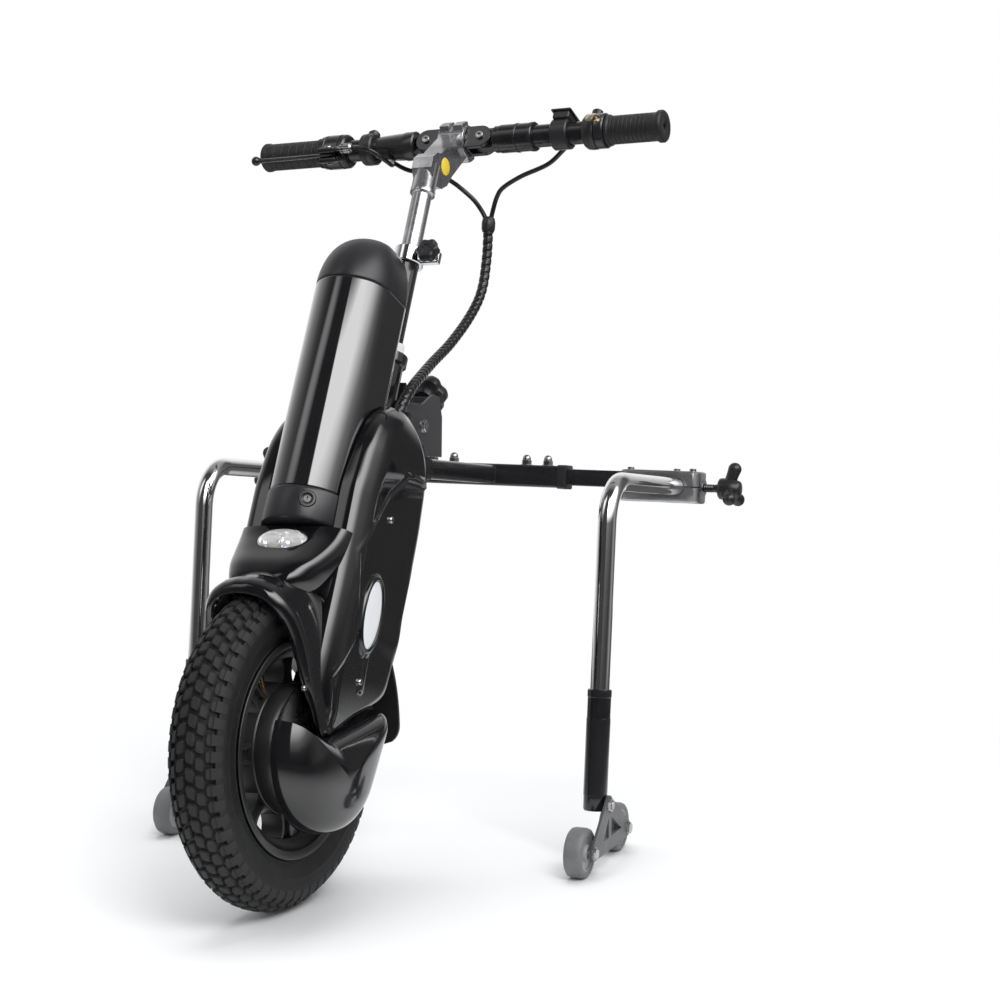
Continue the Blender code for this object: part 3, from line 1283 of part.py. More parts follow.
def build_all():
    clear_scene()
    paint = {
        "tyre": make_material("tyre", (0.022, 0.022, 0.023), 0.85),
        "rim": make_material("rim", (0.015, 0.015, 0.016), 0.35),
        "brass": make_material("brass", (0.75, 0.48, 0.16), 0.25, 1.0),
        "steel": make_material("steel", (0.60, 0.60, 0.62), 0.30, 1.0),
        "chrome": make_material("chrome", (0.82, 0.82, 0.84), 0.08, 1.0),
        "forged": make_material("forged_aluminium", (0.70, 0.70, 0.72), 0.32, 1.0),
        "cast_aluminium": make_material("cast_aluminium", (0.62, 0.62, 0.64), 0.38, 1.0),
        "grey_metal": make_material("grey_metal", (0.20, 0.20, 0.21), 0.50, 0.4),
        "black": make_material("black_paint", (0.012, 0.012, 0.013), 0.25),
        "gloss_black": make_material("gloss_black", (0.006, 0.006, 0.007), 0.06),
        "battery_black": make_material("battery_black", (0.010, 0.010, 0.011), 0.15),
        "black_plastic": make_material("black_plastic", (0.018, 0.018, 0.019), 0.45),
        "dark_plastic": make_material("dark_plastic", (0.055, 0.055, 0.060), 0.50),
        "rubber": make_material("rubber", (0.020, 0.020, 0.021), 0.70),
        "grey_rubber": make_material("grey_rubber", (0.22, 0.22, 0.23), 0.60),
        "cable": make_material("cable", (0.015, 0.015, 0.016), 0.40),
        "clear": make_material("clear_lens", (0.85, 0.87, 0.90), 0.05),
        "red": make_material("button", (0.45, 0.03, 0.03), 0.40),
    }
    vehicle = make_frame("vehicle", matrix=Matrix.Translation((0, -footprint_middle, 0)))
    lean = Matrix.Rotation(-steering_lean, 4, "X")
    axis_foot = Matrix.Translation((0, axis_foot_back, axis_foot_height))
    head = make_frame("head_axis", vehicle, axis_foot @ lean)
    fork = make_frame("steering_axis", head, Matrix.Rotation(steering_turn, 4, "Z"))
    wheel = make_frame("wheel_axis", fork, Matrix.Translation((0, -fork_offset, 0)))
    pitch = Matrix.Rotation(-frame_pitch, 4, "X")
    rear = make_frame("rear_frame", vehicle, Matrix.Translation((0, frame_back, frame_height)) @ pitch)

    build_wheel(wheel, paint)
    build_fork(fork, paint)
    build_shell(fork, paint)
    build_headlight(fork, paint)
    build_battery(fork, paint)
    build_cover(fork, paint)
    build_stem(fork, paint)
    build_collar(fork, paint)
    build_handlebar(fork, paint)
    build_brake(fork, paint)
    build_controls(fork, paint)
    build_cables(fork, paint)
    build_head(head, paint)
    build_bracket(rear, paint)
    build_frame(rear, paint)
    for side, word in ((1, "left"), (-1, "right")):
        build_clamp(rear, paint, side, word)
        build_leg(rear, paint, side, word)


build_all()
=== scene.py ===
"""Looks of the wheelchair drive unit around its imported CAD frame.

Metres, +Z up, the floor at z = 0. The unit faces -Y and the rider's left is +X.
"""

import bpy
import bmesh
from math import acos, atan2, cos, hypot, pi, radians, sin, sqrt
from mathutils import Matrix, Vector


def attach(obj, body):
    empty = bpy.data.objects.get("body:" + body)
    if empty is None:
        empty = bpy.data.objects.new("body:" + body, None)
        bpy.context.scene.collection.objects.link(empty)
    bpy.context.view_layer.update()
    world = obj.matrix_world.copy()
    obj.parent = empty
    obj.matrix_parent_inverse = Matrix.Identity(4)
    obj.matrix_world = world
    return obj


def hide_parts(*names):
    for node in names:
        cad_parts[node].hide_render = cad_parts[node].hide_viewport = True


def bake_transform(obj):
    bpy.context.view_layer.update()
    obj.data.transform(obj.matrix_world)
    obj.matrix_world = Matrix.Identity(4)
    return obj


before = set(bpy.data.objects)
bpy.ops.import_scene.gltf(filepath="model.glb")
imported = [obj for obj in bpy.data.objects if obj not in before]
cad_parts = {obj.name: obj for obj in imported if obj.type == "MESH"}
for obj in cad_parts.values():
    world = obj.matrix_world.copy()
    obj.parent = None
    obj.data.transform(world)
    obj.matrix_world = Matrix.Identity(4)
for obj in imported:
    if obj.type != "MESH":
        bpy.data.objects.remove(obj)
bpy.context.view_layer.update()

# Axes of the CAD, repeated here because part.py isn't read
TYRE_R = 0.159
BASE_SHIFT = 0.2195
LEAN = radians(28.4)
TURN = radians(-5.6)
PITCH = radians(7.0)
FORK_OFFSET = 0.053
# A turned wheel that leans stands a little higher, on the edge of its tyre's centre rib
RIB_HALF = 0.32 * 0.0285
CROSS_BACK, CROSS_UP = 0.557, 0.376
HEAD = (Matrix.Translation((0, FORK_OFFSET * cos(LEAN) - BASE_SHIFT,
                            TYRE_R + RIB_HALF * sin(-TURN) * sin(LEAN) - FORK_OFFSET * sin(LEAN)))
        @ Matrix.Rotation(-LEAN, 4, "X"))
FORK = HEAD @ Matrix.Rotation(TURN, 4, "Z")
WHEEL = FORK @ Matrix.Translation((0, -FORK_OFFSET, 0))
REAR = Matrix.Translation((0, CROSS_BACK - BASE_SHIFT, CROSS_UP)) @ Matrix.Rotation(-PITCH, 4, "X")
TO_X = Matrix.Rotation(pi / 2, 4, "Y")
TO_FRONT = Matrix.Rotation(pi / 2, 4, "X")
TO_BACK = Matrix.Rotation(-pi / 2, 4, "X")


# Camera, lights, floor and world

CAMERA_AT = (0.9376, -1.8364 - BASE_SHIFT, 0.6269)
CAMERA_DOWN, CAMERA_ROUND = 6.26, 21.11
CAMERA_LENS = 77.16

# Name, place, target, width, height, watts
LIGHTS = (("key", (1.5, -1.5, 2.1), (0, 0, 0.4), 1.4, 1.2, 40),
          ("top", (-0.2, 0.3, 2.6), (0, 0, 0.3), 2.0, 1.6, 34),
          ("fill", (-2.0, -0.4, 1.45), (0, -0.1, 0.5), 0.4, 1.8, 9))


def placed(name, data):
    """A new object in the scene that holds the data."""
    thing = bpy.data.objects.new(name, data)
    bpy.context.scene.collection.objects.link(thing)
    return thing


def mesh_from(name, bm):
    """A new mesh from a bmesh, which goes."""
    mesh = bpy.data.meshes.new(name)
    bm.to_mesh(mesh)
    bm.free()
    return mesh


def build_camera():
    data = bpy.data.cameras.new("camera")
    data.lens = CAMERA_LENS
    data.sensor_width = 36.0
    camera = placed("camera", data)
    camera.location = CAMERA_AT
    camera.rotation_euler = (radians(90 - CAMERA_DOWN), 0, radians(CAMERA_ROUND))
    bpy.context.scene.camera = camera


def area_light(name, place, target, width, height, watts):
    data = bpy.data.lights.new(name, "AREA")
    data.shape = "RECTANGLE"
    data.size, data.size_y = width, height
    data.energy = watts
    light = placed(name, data)
    light.location = place
    light.rotation_euler = (Vector(target) - light.location).to_track_quat("-Z", "Y").to_euler()
    # Mirrors see the softboxes that build_world paints instead
    light.visible_glossy = False


# What mirrors see, as (place, brightness). ROOM and SOFTBOX_ROUND give the place as a share of a turn: 0.25
# left, 0.5 behind, 0.75 right, 0 and 1 the camera's side. SOFTBOX_UP gives it as the direction's height
# on a unit sphere, and CEILING as how far back it points, from 0 to 1. The ceiling takes over from the room
# between the heights of CEILING_EDGE.
ROOM = ((0.00, 0.05), (0.10, 0.05), (0.22, 0.30), (0.33, 0.90), (0.48, 0.95), (0.535, 0.50), (0.560, 0.08),
        (0.610, 0.12), (0.680, 0.30), (0.740, 0.12), (0.760, 0.05))
SOFTBOX_ROUND = ((0.00, 0.0), (0.085, 0.0), (0.125, 0.20), (0.155, 0.20), (0.180, 0.0), (0.650, 0.0),
                 (0.720, 0.7), (0.800, 1.0), (0.955, 1.0), (0.961, 0.0))
SOFTBOX_UP = ((0.00, 0.0), (0.14, 0.02), (0.34, 0.22), (0.60, 1.0), (0.80, 1.0), (0.90, 0.0))
SOFTBOX_LEVEL = 5.5
CEILING = ((0.00, 0.05), (0.45, 0.05), (0.62, 0.30), (1.00, 0.45))
CEILING_EDGE = (0.50, 0.80)
WHITE = (1, 1, 1, 1)
ROOM_LIGHT, ROOM_LEVEL = (0.95, 0.97, 1.0, 1), 0.55
# The floor's radius, where its fade starts and ends, and how bright mirrors see it past the fade
FLOOR_R = 1.7
FLOOR_FADE = (0.40, 1.00)
FAR_FLOOR = 0.10


def set_inputs(node, values):
    """Set a shader node's inputs by name; an underscore stands for a space."""
    for name, value in values.items():
        node.inputs[name.replace("_", " ")].default_value = value


def add_node(tree, kind, **values):
    node = tree.nodes.new("ShaderNode" + kind)
    set_inputs(node, values)
    return node


def feed(tree, node, sources):
    """Set a node's first inputs, each to a number or from another node's output."""
    for i, source in enumerate(sources):
        if isinstance(source, float):
            node.inputs[i].default_value = source
        else:
            tree.links.new(source, node.inputs[i])
    return node.outputs[0]


def level_ramp(tree, table, source):
    ramp = add_node(tree, "ValToRGB")
    stops = ramp.color_ramp.elements
    while len(stops) < len(table):
        stops.new(0.5)
    for stop, (place, level) in zip(stops, table):
        stop.position = place
        stop.color = (level, level, level, 1)
    return feed(tree, ramp, (source,))


def level_math(tree, operation, *sources):
    step = add_node(tree, "Math")
    step.operation = operation
    return feed(tree, step, sources)


def mixed(tree, share, first, second):
    return feed(tree, add_node(tree, "MixShader"), (share, first, second))


def direct_rays(tree, path):
    """1 for what the camera sees, also through glass."""
    return level_math(tree, "MAXIMUM", path["Is Camera Ray"], path["Is Transmission Ray"])


def build_world():
    world = bpy.data.worlds.new("studio")
    bpy.context.scene.world = world
    world.use_nodes = True
    tree = world.node_tree
    tree.nodes.clear()
    link = tree.links.new
    path = add_node(tree, "LightPath").outputs
    split = add_node(tree, "SeparateXYZ")
    link(add_node(tree, "TexCoord").outputs["Generated"], split.inputs[0])
    turn = level_math(tree, "ARCTAN2", split.outputs["X"], split.outputs["Y"])
    share = level_math(tree, "MULTIPLY_ADD", turn, 1 / (2 * pi), 0.5)
    # A white backdrop behind, a dark room on the camera's side, a tall softbox to its right, a small one to
    # its left, and a ceiling that is lit towards the back
    softbox = level_math(tree, "MULTIPLY", level_ramp(tree, SOFTBOX_ROUND, share),
                         level_ramp(tree, SOFTBOX_UP, split.outputs["Z"]))
    back = level_math(tree, "MULTIPLY_ADD", split.outputs["Y"], 0.5, 0.5)
    high = add_node(tree, "MapRange", From_Min=CEILING_EDGE[0], From_Max=CEILING_EDGE[1])
    link(split.outputs["Z"], high.inputs["Value"])
    around = add_node(tree, "Mix")
    around.data_type = "RGBA"
    link(high.outputs[0], around.inputs["Factor"])
    link(level_ramp(tree, ROOM, share), around.inputs["A"])
    link(level_ramp(tree, CEILING, back), around.inputs["B"])
    mirror_view = add_node(tree, "Background")
    link(level_math(tree, "MULTIPLY_ADD", softbox, SOFTBOX_LEVEL, around.outputs["Result"]),
         mirror_view.inputs["Color"])
    lit = add_node(tree, "Background", Color=ROOM_LIGHT, Strength=ROOM_LEVEL)
    seen = add_node(tree, "Background", Color=WHITE)
    inner = mixed(tree, path["Is Glossy Ray"], lit.outputs[0], mirror_view.outputs[0])
    link(mixed(tree, direct_rays(tree, path), inner, seen.outputs[0]),
         add_node(tree, "OutputWorld").inputs[0])


def plain_material(name, **values):
    """A new material, its tree and its Principled node with some inputs set."""
    material = bpy.data.materials.new(name)
    material.use_nodes = True
    tree = material.node_tree
    shader = tree.nodes["Principled BSDF"]
    set_inputs(shader, values)
    return material, tree, shader


def build_floor():
    """A pale round floor that keeps the shadow and fades to the backdrop's white further out."""
    bm = bmesh.new()
    bmesh.ops.create_circle(bm, cap_ends=True, segments=96, radius=FLOOR_R)
    mesh = mesh_from("floor", bm)
    floor = placed("floor", mesh)
    material, tree, shader = plain_material("floor", Base_Color=(0.90, 0.90, 0.90, 1), Roughness=0.75,
                                            Specular_IOR_Level=0.2)
    link = tree.links.new
    length = add_node(tree, "VectorMath")
    length.operation = "LENGTH"
    link(add_node(tree, "TexCoord").outputs["Object"], length.inputs[0])
    fade = add_node(tree, "MapRange", From_Min=FLOOR_FADE[0], From_Max=FLOOR_FADE[1])
    fade.interpolation_type = "SMOOTHSTEP"
    link(length.outputs["Value"], fade.inputs["Value"])
    path = add_node(tree, "LightPath").outputs
    mirror = path["Is Glossy Ray"]
    share = level_math(tree, "MULTIPLY", fade.outputs[0],
                       level_math(tree, "MAXIMUM", direct_rays(tree, path), mirror))
    # Mirrors see the far floor dark, as in a room whose light falls near the wheel
    white = add_node(tree, "Emission")
    link(level_math(tree, "MULTIPLY_ADD", mirror, FAR_FLOOR - 1, 1.0), white.inputs["Strength"])
    link(mixed(tree, share, shader.outputs[0], white.outputs[0]),
         tree.nodes["Material Output"].inputs["Surface"])
    mesh.materials.append(material)


# Materials

def noise_level(tree, scale, detail, rough=0.5):
    noise = add_node(tree, "TexNoise", Scale=scale, Detail=detail, Roughness=rough)
    tree.links.new(add_node(tree, "TexCoord").outputs["Object"], noise.inputs["Vector"])
    return noise.outputs["Fac"]


def make_finish(name, colour, rough, metal=0.0, grain=400.0, bump=0.02, rough_spread=0.08,
                tint=0.15, wear=0.0, coat=0.0, depth=0.0004, smudge=60.0, shine=0.5):
    """A Principled finish whose colour, roughness and height vary at a fine and a coarse scale."""
    material, tree, shader = plain_material(name, Metallic=metal, Specular_IOR_Level=shine)
    link = tree.links.new
    if coat:
        set_inputs(shader, {"Coat Weight": coat, "Coat Roughness": 0.04})

    colours = add_node(tree, "ValToRGB")
    low, high = colours.color_ramp.elements
    low.position, high.position = 0.30, 0.75
    low.color = (*[c * (1 - tint) for c in colour], 1)
    high.color = (*[min(1.0, c * (1 + tint) + 0.002) for c in colour], 1)
    tinted = feed(tree, colours, (noise_level(tree, smudge, 3.0),))
    if wear:
        # The edges are where the mesh is more pointed
        edge = add_node(tree, "ValToRGB")
        edge.color_ramp.elements[0].position = 0.505
        edge.color_ramp.elements[1].position = 0.56
        edges = feed(tree, edge, (add_node(tree, "NewGeometry").outputs["Pointiness"],))
        worn = add_node(tree, "Mix")
        worn.data_type = "RGBA"
        worn.inputs["B"].default_value = (*[min(1.0, c * (1 + 3 * wear) + 0.04 * wear) for c in colour], 1)
        link(level_math(tree, "MULTIPLY", edges, wear), worn.inputs["Factor"])
        link(tinted, worn.inputs["A"])
        tinted = worn.outputs["Result"]
    link(tinted, shader.inputs["Base Color"])

    spread = add_node(tree, "MapRange", To_Min=max(0.02, rough - rough_spread), To_Max=rough + rough_spread)
    link(noise_level(tree, smudge * 0.4, 5.0, 0.6), spread.inputs["Value"])
    link(spread.outputs[0], shader.inputs["Roughness"])

    if bump:
        step = add_node(tree, "Bump", Strength=bump, Distance=depth)
        link(noise_level(tree, grain, 5.0, 0.6), step.inputs["Height"])
        link(step.outputs[0], shader.inputs["Normal"])
    return material


def make_glass():
    material, tree, shader = plain_material("lens_glass", Transmission_Weight=1.0, IOR=1.45,
                                            Base_Color=(0.93, 0.95, 0.97, 1))
    spread = add_node(tree, "MapRange", To_Min=0.02, To_Max=0.10)
    tree.links.new(noise_level(tree, 80, 2.0), spread.inputs["Value"])
    tree.links.new(spread.outputs[0], shader.inputs["Roughness"])
    # Moulded polycarbonate scatters a little of the light
    haze = add_node(tree, "BsdfDiffuse", Color=(0.80, 0.79, 0.78, 1))
    tree.links.new(mixed(tree, 0.30, shader.outputs[0], haze.outputs[0]),
                   tree.nodes["Material Output"].inputs["Surface"])
    return material


# Name, colour, roughness and what differs from make_finish's usual values
FINISHES = (
    ("gloss_black", (0.004, 0.004, 0.005), 0.045,
     dict(grain=70, bump=0.0, rough_spread=0.03, smudge=25, shine=0.7, coat=0.3)),
    ("battery_black", (0.006, 0.006, 0.007), 0.055,
     dict(grain=90, bump=0.0, rough_spread=0.02, smudge=20, shine=1.0, coat=1.0)),
    ("satin_black", (0.006, 0.006, 0.007), 0.10,
     dict(grain=200, bump=0.0, rough_spread=0.03, smudge=20, shine=0.7, coat=0.3)),
    ("enamel", (0.78, 0.79, 0.80), 0.22, dict(grain=300, bump=0.01, tint=0.02)),
    ("yellow", (0.85, 0.62, 0.05), 0.30, dict(tint=0.05)),
    ("brass_lit", (0.80, 0.66, 0.45), 0.22, dict(metal=1.0, grain=300, bump=0.05)),
    ("led", (0.85, 0.80, 0.55), 0.30, dict(grain=600, tint=0.05)),
    ("dark_plastic", (0.015, 0.015, 0.017), 0.36, dict(grain=1500, bump=0.18, depth=0.0002)),
    ("black_plastic", (0.011, 0.011, 0.012), 0.34, dict(grain=1300, bump=0.15, depth=0.0002, wear=0.3)),
    ("black_paint", (0.008, 0.008, 0.009), 0.20,
     dict(grain=260, bump=0.03, wear=0.3, rough_spread=0.06, coat=0.3)),
    ("rubber", (0.013, 0.013, 0.014), 0.50, dict(grain=900, bump=0.2, depth=0.0003)),
    ("tyre", (0.006, 0.006, 0.0065), 0.62, dict(shine=0.3, grain=700, bump=0.35, tint=0.25, wear=0.5)),
    ("rim", (0.014, 0.014, 0.015), 0.32, dict(grain=300, bump=0.12, wear=0.5)),
    ("brass", (0.78, 0.55, 0.22), 0.28, dict(metal=1.0, grain=500, bump=0.05)),
    ("steel", (0.46, 0.455, 0.45), 0.28, dict(metal=1.0, grain=600, bump=0.06)),
    ("chrome", (0.86, 0.86, 0.87), 0.09,
     dict(metal=1.0, grain=140, bump=0.01, rough_spread=0.04, tint=0.04)),
    ("forged", (0.46, 0.46, 0.475), 0.24, dict(metal=0.9, grain=420, bump=0.15, tint=0.22, depth=0.0003)),
    ("cast", (0.50, 0.50, 0.51), 0.34, dict(metal=1.0, grain=900, bump=0.22, tint=0.10, depth=0.0003)),
    ("grey_metal", (0.10, 0.10, 0.105), 0.40, dict(metal=0.4, grain=700, bump=0.12)),
    ("bracket_paint", (0.018, 0.018, 0.020), 0.34, dict(grain=500, bump=0.08, wear=0.5)),
    ("caster_hub", (0.30, 0.30, 0.31), 0.42, dict(grain=700, bump=0.10)),
    ("grey_rubber", (0.16, 0.16, 0.165), 0.55, dict(grain=800, bump=0.2)),
    ("cable", (0.010, 0.010, 0.011), 0.24, dict(grain=700, bump=0.04)),
)
FINISH = {name: make_finish(name, colour, rough, **more) for name, colour, rough, more in FINISHES}
FINISH["lens_glass"] = make_glass()

# The finish of each CAD node that no piece stands for
NODE_FINISH = {"motor_cover": "rim", "tyre_valve": "brass", "brake_disc": "steel", "axle": "steel",
               "fork": "black_paint", "brake_caliper": "black_paint", "headset_nut": "steel",
               "head_tube": "black_paint"}


def dress_nodes():
    for name, paint in NODE_FINISH.items():
        for slot in bpy.data.objects[name].material_slots:
            slot.material = FINISH[paint]



# Shape helpers; each that makes a shape returns a bmesh

SIDES = ((1, "left"), (-1, "right"))


def offset(x, y, z):
    return Matrix.Translation((x, y, z))


def turns(steps):
    """Evenly spaced angles once round."""
    return [2 * pi * i / steps for i in range(steps)]


def mirrored(half):
    """A (radius, place) profile and its mirror image, in one run."""
    return half + [(r, -x) for r, x in half[::-1]]


def along(start, rows):
    """Rows of (place, radius), each place measured from the start."""
    return [(start + place, radius) for place, radius in rows]


def finer(rows, parts):
    """The same rows with `parts` steps from each to the next."""
    return [tuple(a + (b - a) * k / parts for a, b in zip(p, q)) for p, q in zip(rows, rows[1:])
            for k in range(parts)] + [rows[-1]]


def skin_loops(loops, ring=False, caps=True):
    bm = bmesh.new()
    rows = [[bm.verts.new(point) for point in loop] for loop in loops]
    pairs = list(zip(rows, rows[1:]))
    if ring:
        pairs.append((rows[-1], rows[0]))
    count = len(rows[0])
    for low, high in pairs:
        for i in range(count):
            j = (i + 1) % count
            bm.faces.new((low[i], low[j], high[j], high[i]))
    if caps and not ring:
        bm.faces.new(rows[0][::-1])
        bm.faces.new(rows[-1])
    return bm


def lathe(profile, steps=64, closed=False):
    """Turn (radius, height) points about Z; open profiles start and end on the axis."""
    angles = turns(steps)
    if closed:
        return skin_loops([[(r * cos(a), r * sin(a), z) for r, z in profile] for a in angles], ring=True)
    bm = bmesh.new()
    rows = [[bm.verts.new((r * cos(a), r * sin(a), z)) for a in angles] for r, z in profile[1:-1]]
    low = bm.verts.new((0, 0, profile[0][1]))
    high = bm.verts.new((0, 0, profile[-1][1]))
    for i in range(steps):
        j = (i + 1) % steps
        bm.faces.new((low, rows[0][j], rows[0][i]))
        bm.faces.new((high, rows[-1][i], rows[-1][j]))
        for a, b in zip(rows, rows[1:]):
            bm.faces.new((a[i], a[j], b[j], b[i]))
    return bm


def box(low, high):
    (x0, y0, z0), (x1, y1, z1) = low, high
    return skin_loops([[(x0, y0, z), (x1, y0, z), (x1, y1, z), (x0, y1, z)] for z in (z0, z1)])


def arc(centre, radius, start, end, steps):
    return [(centre[0] + radius * cos(start + (end - start) * i / steps),
             centre[1] + radius * sin(start + (end - start) * i / steps)) for i in range(steps + 1)]


def joined(*parts):
    """One bmesh that holds every part."""
    whole = bmesh.new()
    for part in parts:
        mesh = mesh_from("part", part)
        whole.from_mesh(mesh)
        bpy.data.meshes.remove(mesh)
    return whole


def turned(bm, matrix):
    bm.transform(matrix)
    return bm


def rod(radius, low, high, steps):
    """A plain cylinder along Z."""
    return lathe([(0, low), (radius, low), (radius, high), (0, high)], steps)


def ring_at(reach, height, steps):
    """A loop about Z whose radius is a function of its angle."""
    return [(reach(a) * cos(a), reach(a) * sin(a), height) for a in turns(steps)]


def socketed(rows, steps=24):
    """A turned head from (radius, height, six-sided) rows, whose last ones are its socket."""
    return skin_loops([ring_at(lambda a: r / cos((a + pi / 6) % (pi / 3) - pi / 6) if hexed else r, z, steps)
                       for r, z, hexed in rows])


def button_screw(radius, height):
    """A domed screw head on z = 0."""
    return socketed([(radius, -0.001, False), (radius, height * 0.35, False),
                     (radius * 0.90, height * 0.72, False), (radius * 0.70, height, False),
                     (radius * 0.42, height, True), (radius * 0.38, height * 0.25, True)])


def socket_screw(radius, height):
    """A cylinder head on z = 0."""
    return socketed([(radius, -0.001, False), (radius, height * 0.85, False), (radius * 0.92, height, False),
                     (radius * 0.50, height, True), (radius * 0.46, height * 0.35, True)])


def carved(bm, *tools):
    """The closed bmesh with other closed ones cut out of it, one by one."""
    bmesh.ops.recalc_face_normals(bm, faces=bm.faces)
    thing = placed("solid", mesh_from("solid", bm))
    for shape in tools:
        bmesh.ops.recalc_face_normals(shape, faces=shape.faces)
        tool = placed("tool", mesh_from("tool", shape))
        step = thing.modifiers.new("cut", "BOOLEAN")
        step.operation = "DIFFERENCE"
        step.solver = "MANIFOLD"
        step.object = tool
        result = bpy.data.meshes.new_from_object(thing.evaluated_get(bpy.context.evaluated_depsgraph_get()))
        thing.modifiers.clear()
        used = (thing.data, tool.data)
        thing.data = result
        bpy.data.objects.remove(tool)
        for mesh in used:
            bpy.data.meshes.remove(mesh)
    whole = bmesh.new()
    whole.from_mesh(thing.data)
    mesh = thing.data
    bpy.data.objects.remove(thing)
    bpy.data.meshes.remove(mesh)
    return whole


def piece(name, bm, paint, matrix, body, replaces=(), slot=None, smooth=40, bevel=0.0, segments=2):
    """A visible piece drawn in the axes of `matrix`, on a CAD body."""
    bmesh.ops.recalc_face_normals(bm, faces=bm.faces)
    bm.transform(matrix)
    mesh = mesh_from(name, bm)
    thing = placed(name, mesh)
    mesh.materials.append(FINISH[paint])
    mesh.shade_smooth()
    mesh.set_sharp_from_angle(angle=radians(smooth))
    if bevel:
        step = thing.modifiers.new("edges", "BEVEL")
        step.width = bevel
        step.segments = segments
        step.limit_method = "ANGLE"
        step.angle_limit = radians(smooth)
        step.harden_normals = True
    if body:
        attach(thing, body)
    if replaces:
        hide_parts(*replaces)
    return thing


# Tyre and cast wheel, drawn about the axle along Z and laid over to X

PITCHES = 60


def crown(x):
    """The tread's outer radius across the tyre."""
    return TYRE_R - 10.5 * x * x - 2.2e4 * abs(x) ** 4


def tread_block(bm, x0, x1, a0, a1, depth=0.0045, skew=0.0, drop=0.0):
    """One block on the crown, with eased corners, from x0 to x1 and from angle a0 to a1."""
    cx, ca = (x0 + x1) / 2, (a0 + a1) / 2
    hx, ha = abs(x1 - x0) / 2, (a1 - a0) / 2
    shape = [(-1, -0.7), (-0.7, -1), (0.7, -1), (1, -0.7), (1, 0.7), (0.7, 1), (-0.7, 1), (-1, 0.7)]
    rows = []
    for grow, level in ((1.10, -depth), (1.0, -0.0012), (0.86, 0.0)):
        row = []
        for u, v in shape:
            x = cx + hx * grow * u
            a = ca + ha * grow * v + skew * u * ha
            r = crown(x) + level - drop
            row.append(bm.verts.new((r * cos(a), r * sin(a), x)))
        rows.append(row)
    for low, high in zip(rows, rows[1:]):
        for i in range(8):
            j = (i + 1) % 8
            bm.faces.new((low[i], low[j], high[j], high[i]))
    bm.faces.new(rows[-1])


def build_tyre():
    base = 0.0040
    half = [(0.0, crown(0) - base), (0.008, crown(0.008) - base), (0.016, crown(0.016) - base),
            (0.0225, crown(0.0225) - base), (0.0258, 0.1450), (0.0277, 0.1400), (0.0283, 0.1345),
            (0.0284, 0.1300), (0.0279, 0.1262), (0.0281, 0.1256), (0.0277, 0.1248), (0.0268, 0.1205),
            (0.0252, 0.1150), (0.0236, 0.1105), (0.0241, 0.1098), (0.0236, 0.1088), (0.0222, 0.1052),
            (0.0214, 0.1032), (0.0190, 0.1030)]
    inner = [(0.0176, 0.1032), (0.0225, 0.1150), (0.0235, 0.1320), (0.0160, 0.1470), (0.0, 0.1492)]
    profile = [(r, x) for x, r in half] + [(r, x) for x, r in inner]
    profile += [(r, -x) for x, r in inner[::-1][1:]] + [(r, -x) for x, r in half[::-1][:-1]]
    carcass = lathe(profile, 180, closed=True)
    blocks = bmesh.new()
    step = 2 * pi / PITCHES
    for i in range(PITCHES):
        a = i * step
        for side in (1, -1):
            s = 0.0 if side > 0 else step / 2
            tread_block(blocks, side * 0.0012, side * 0.0092, a + s, a + s + 0.70 * step, skew=side * 0.25)
            tread_block(blocks, side * 0.0112, side * 0.0172, a + s + step * 0.42, a + s + step * 1.10,
                        skew=side * 0.2)
            tread_block(blocks, side * 0.0190, side * 0.0245, a + s, a + s + 0.66 * step, depth=0.0042)
            # The shoulder knob runs down the sidewall
            rows = []
            for x, r in ((0.0232, 0.1488), (0.0264, 0.1455), (0.0284, 0.1395), (0.0282, 0.1370)):
                wide = 0.33 * step if r > 0.139 else 0.26 * step
                mid = a + s + 0.33 * step
                rows.append([(r * cos(mid + w * wide), r * sin(mid + w * wide), side * x)
                             for w in (-1, 1)])
            back = [(x, y, z - side * 0.0022) for row in rows for x, y, z in row]
            verts = [blocks.verts.new(p) for row in rows for p in row]
            base_verts = [blocks.verts.new(p) for p in back]
            for k in range(0, 6, 2):
                blocks.faces.new((verts[k], verts[k + 1], verts[k + 3], verts[k + 2]))
                for j in (0, 1):
                    blocks.faces.new((verts[k + j], verts[k + 2 + j], base_verts[k + 2 + j],
                                      base_verts[k + j]))
            blocks.faces.new((verts[6], verts[7], base_verts[7], base_verts[6]))
            blocks.faces.new((verts[0], verts[1], base_verts[1], base_verts[0]))
    return piece("tyre_rubber", joined(carcass, blocks), "tyre", WHEEL @ TO_X, "wheel",
                 ("tyre",), "tyre", smooth=32)


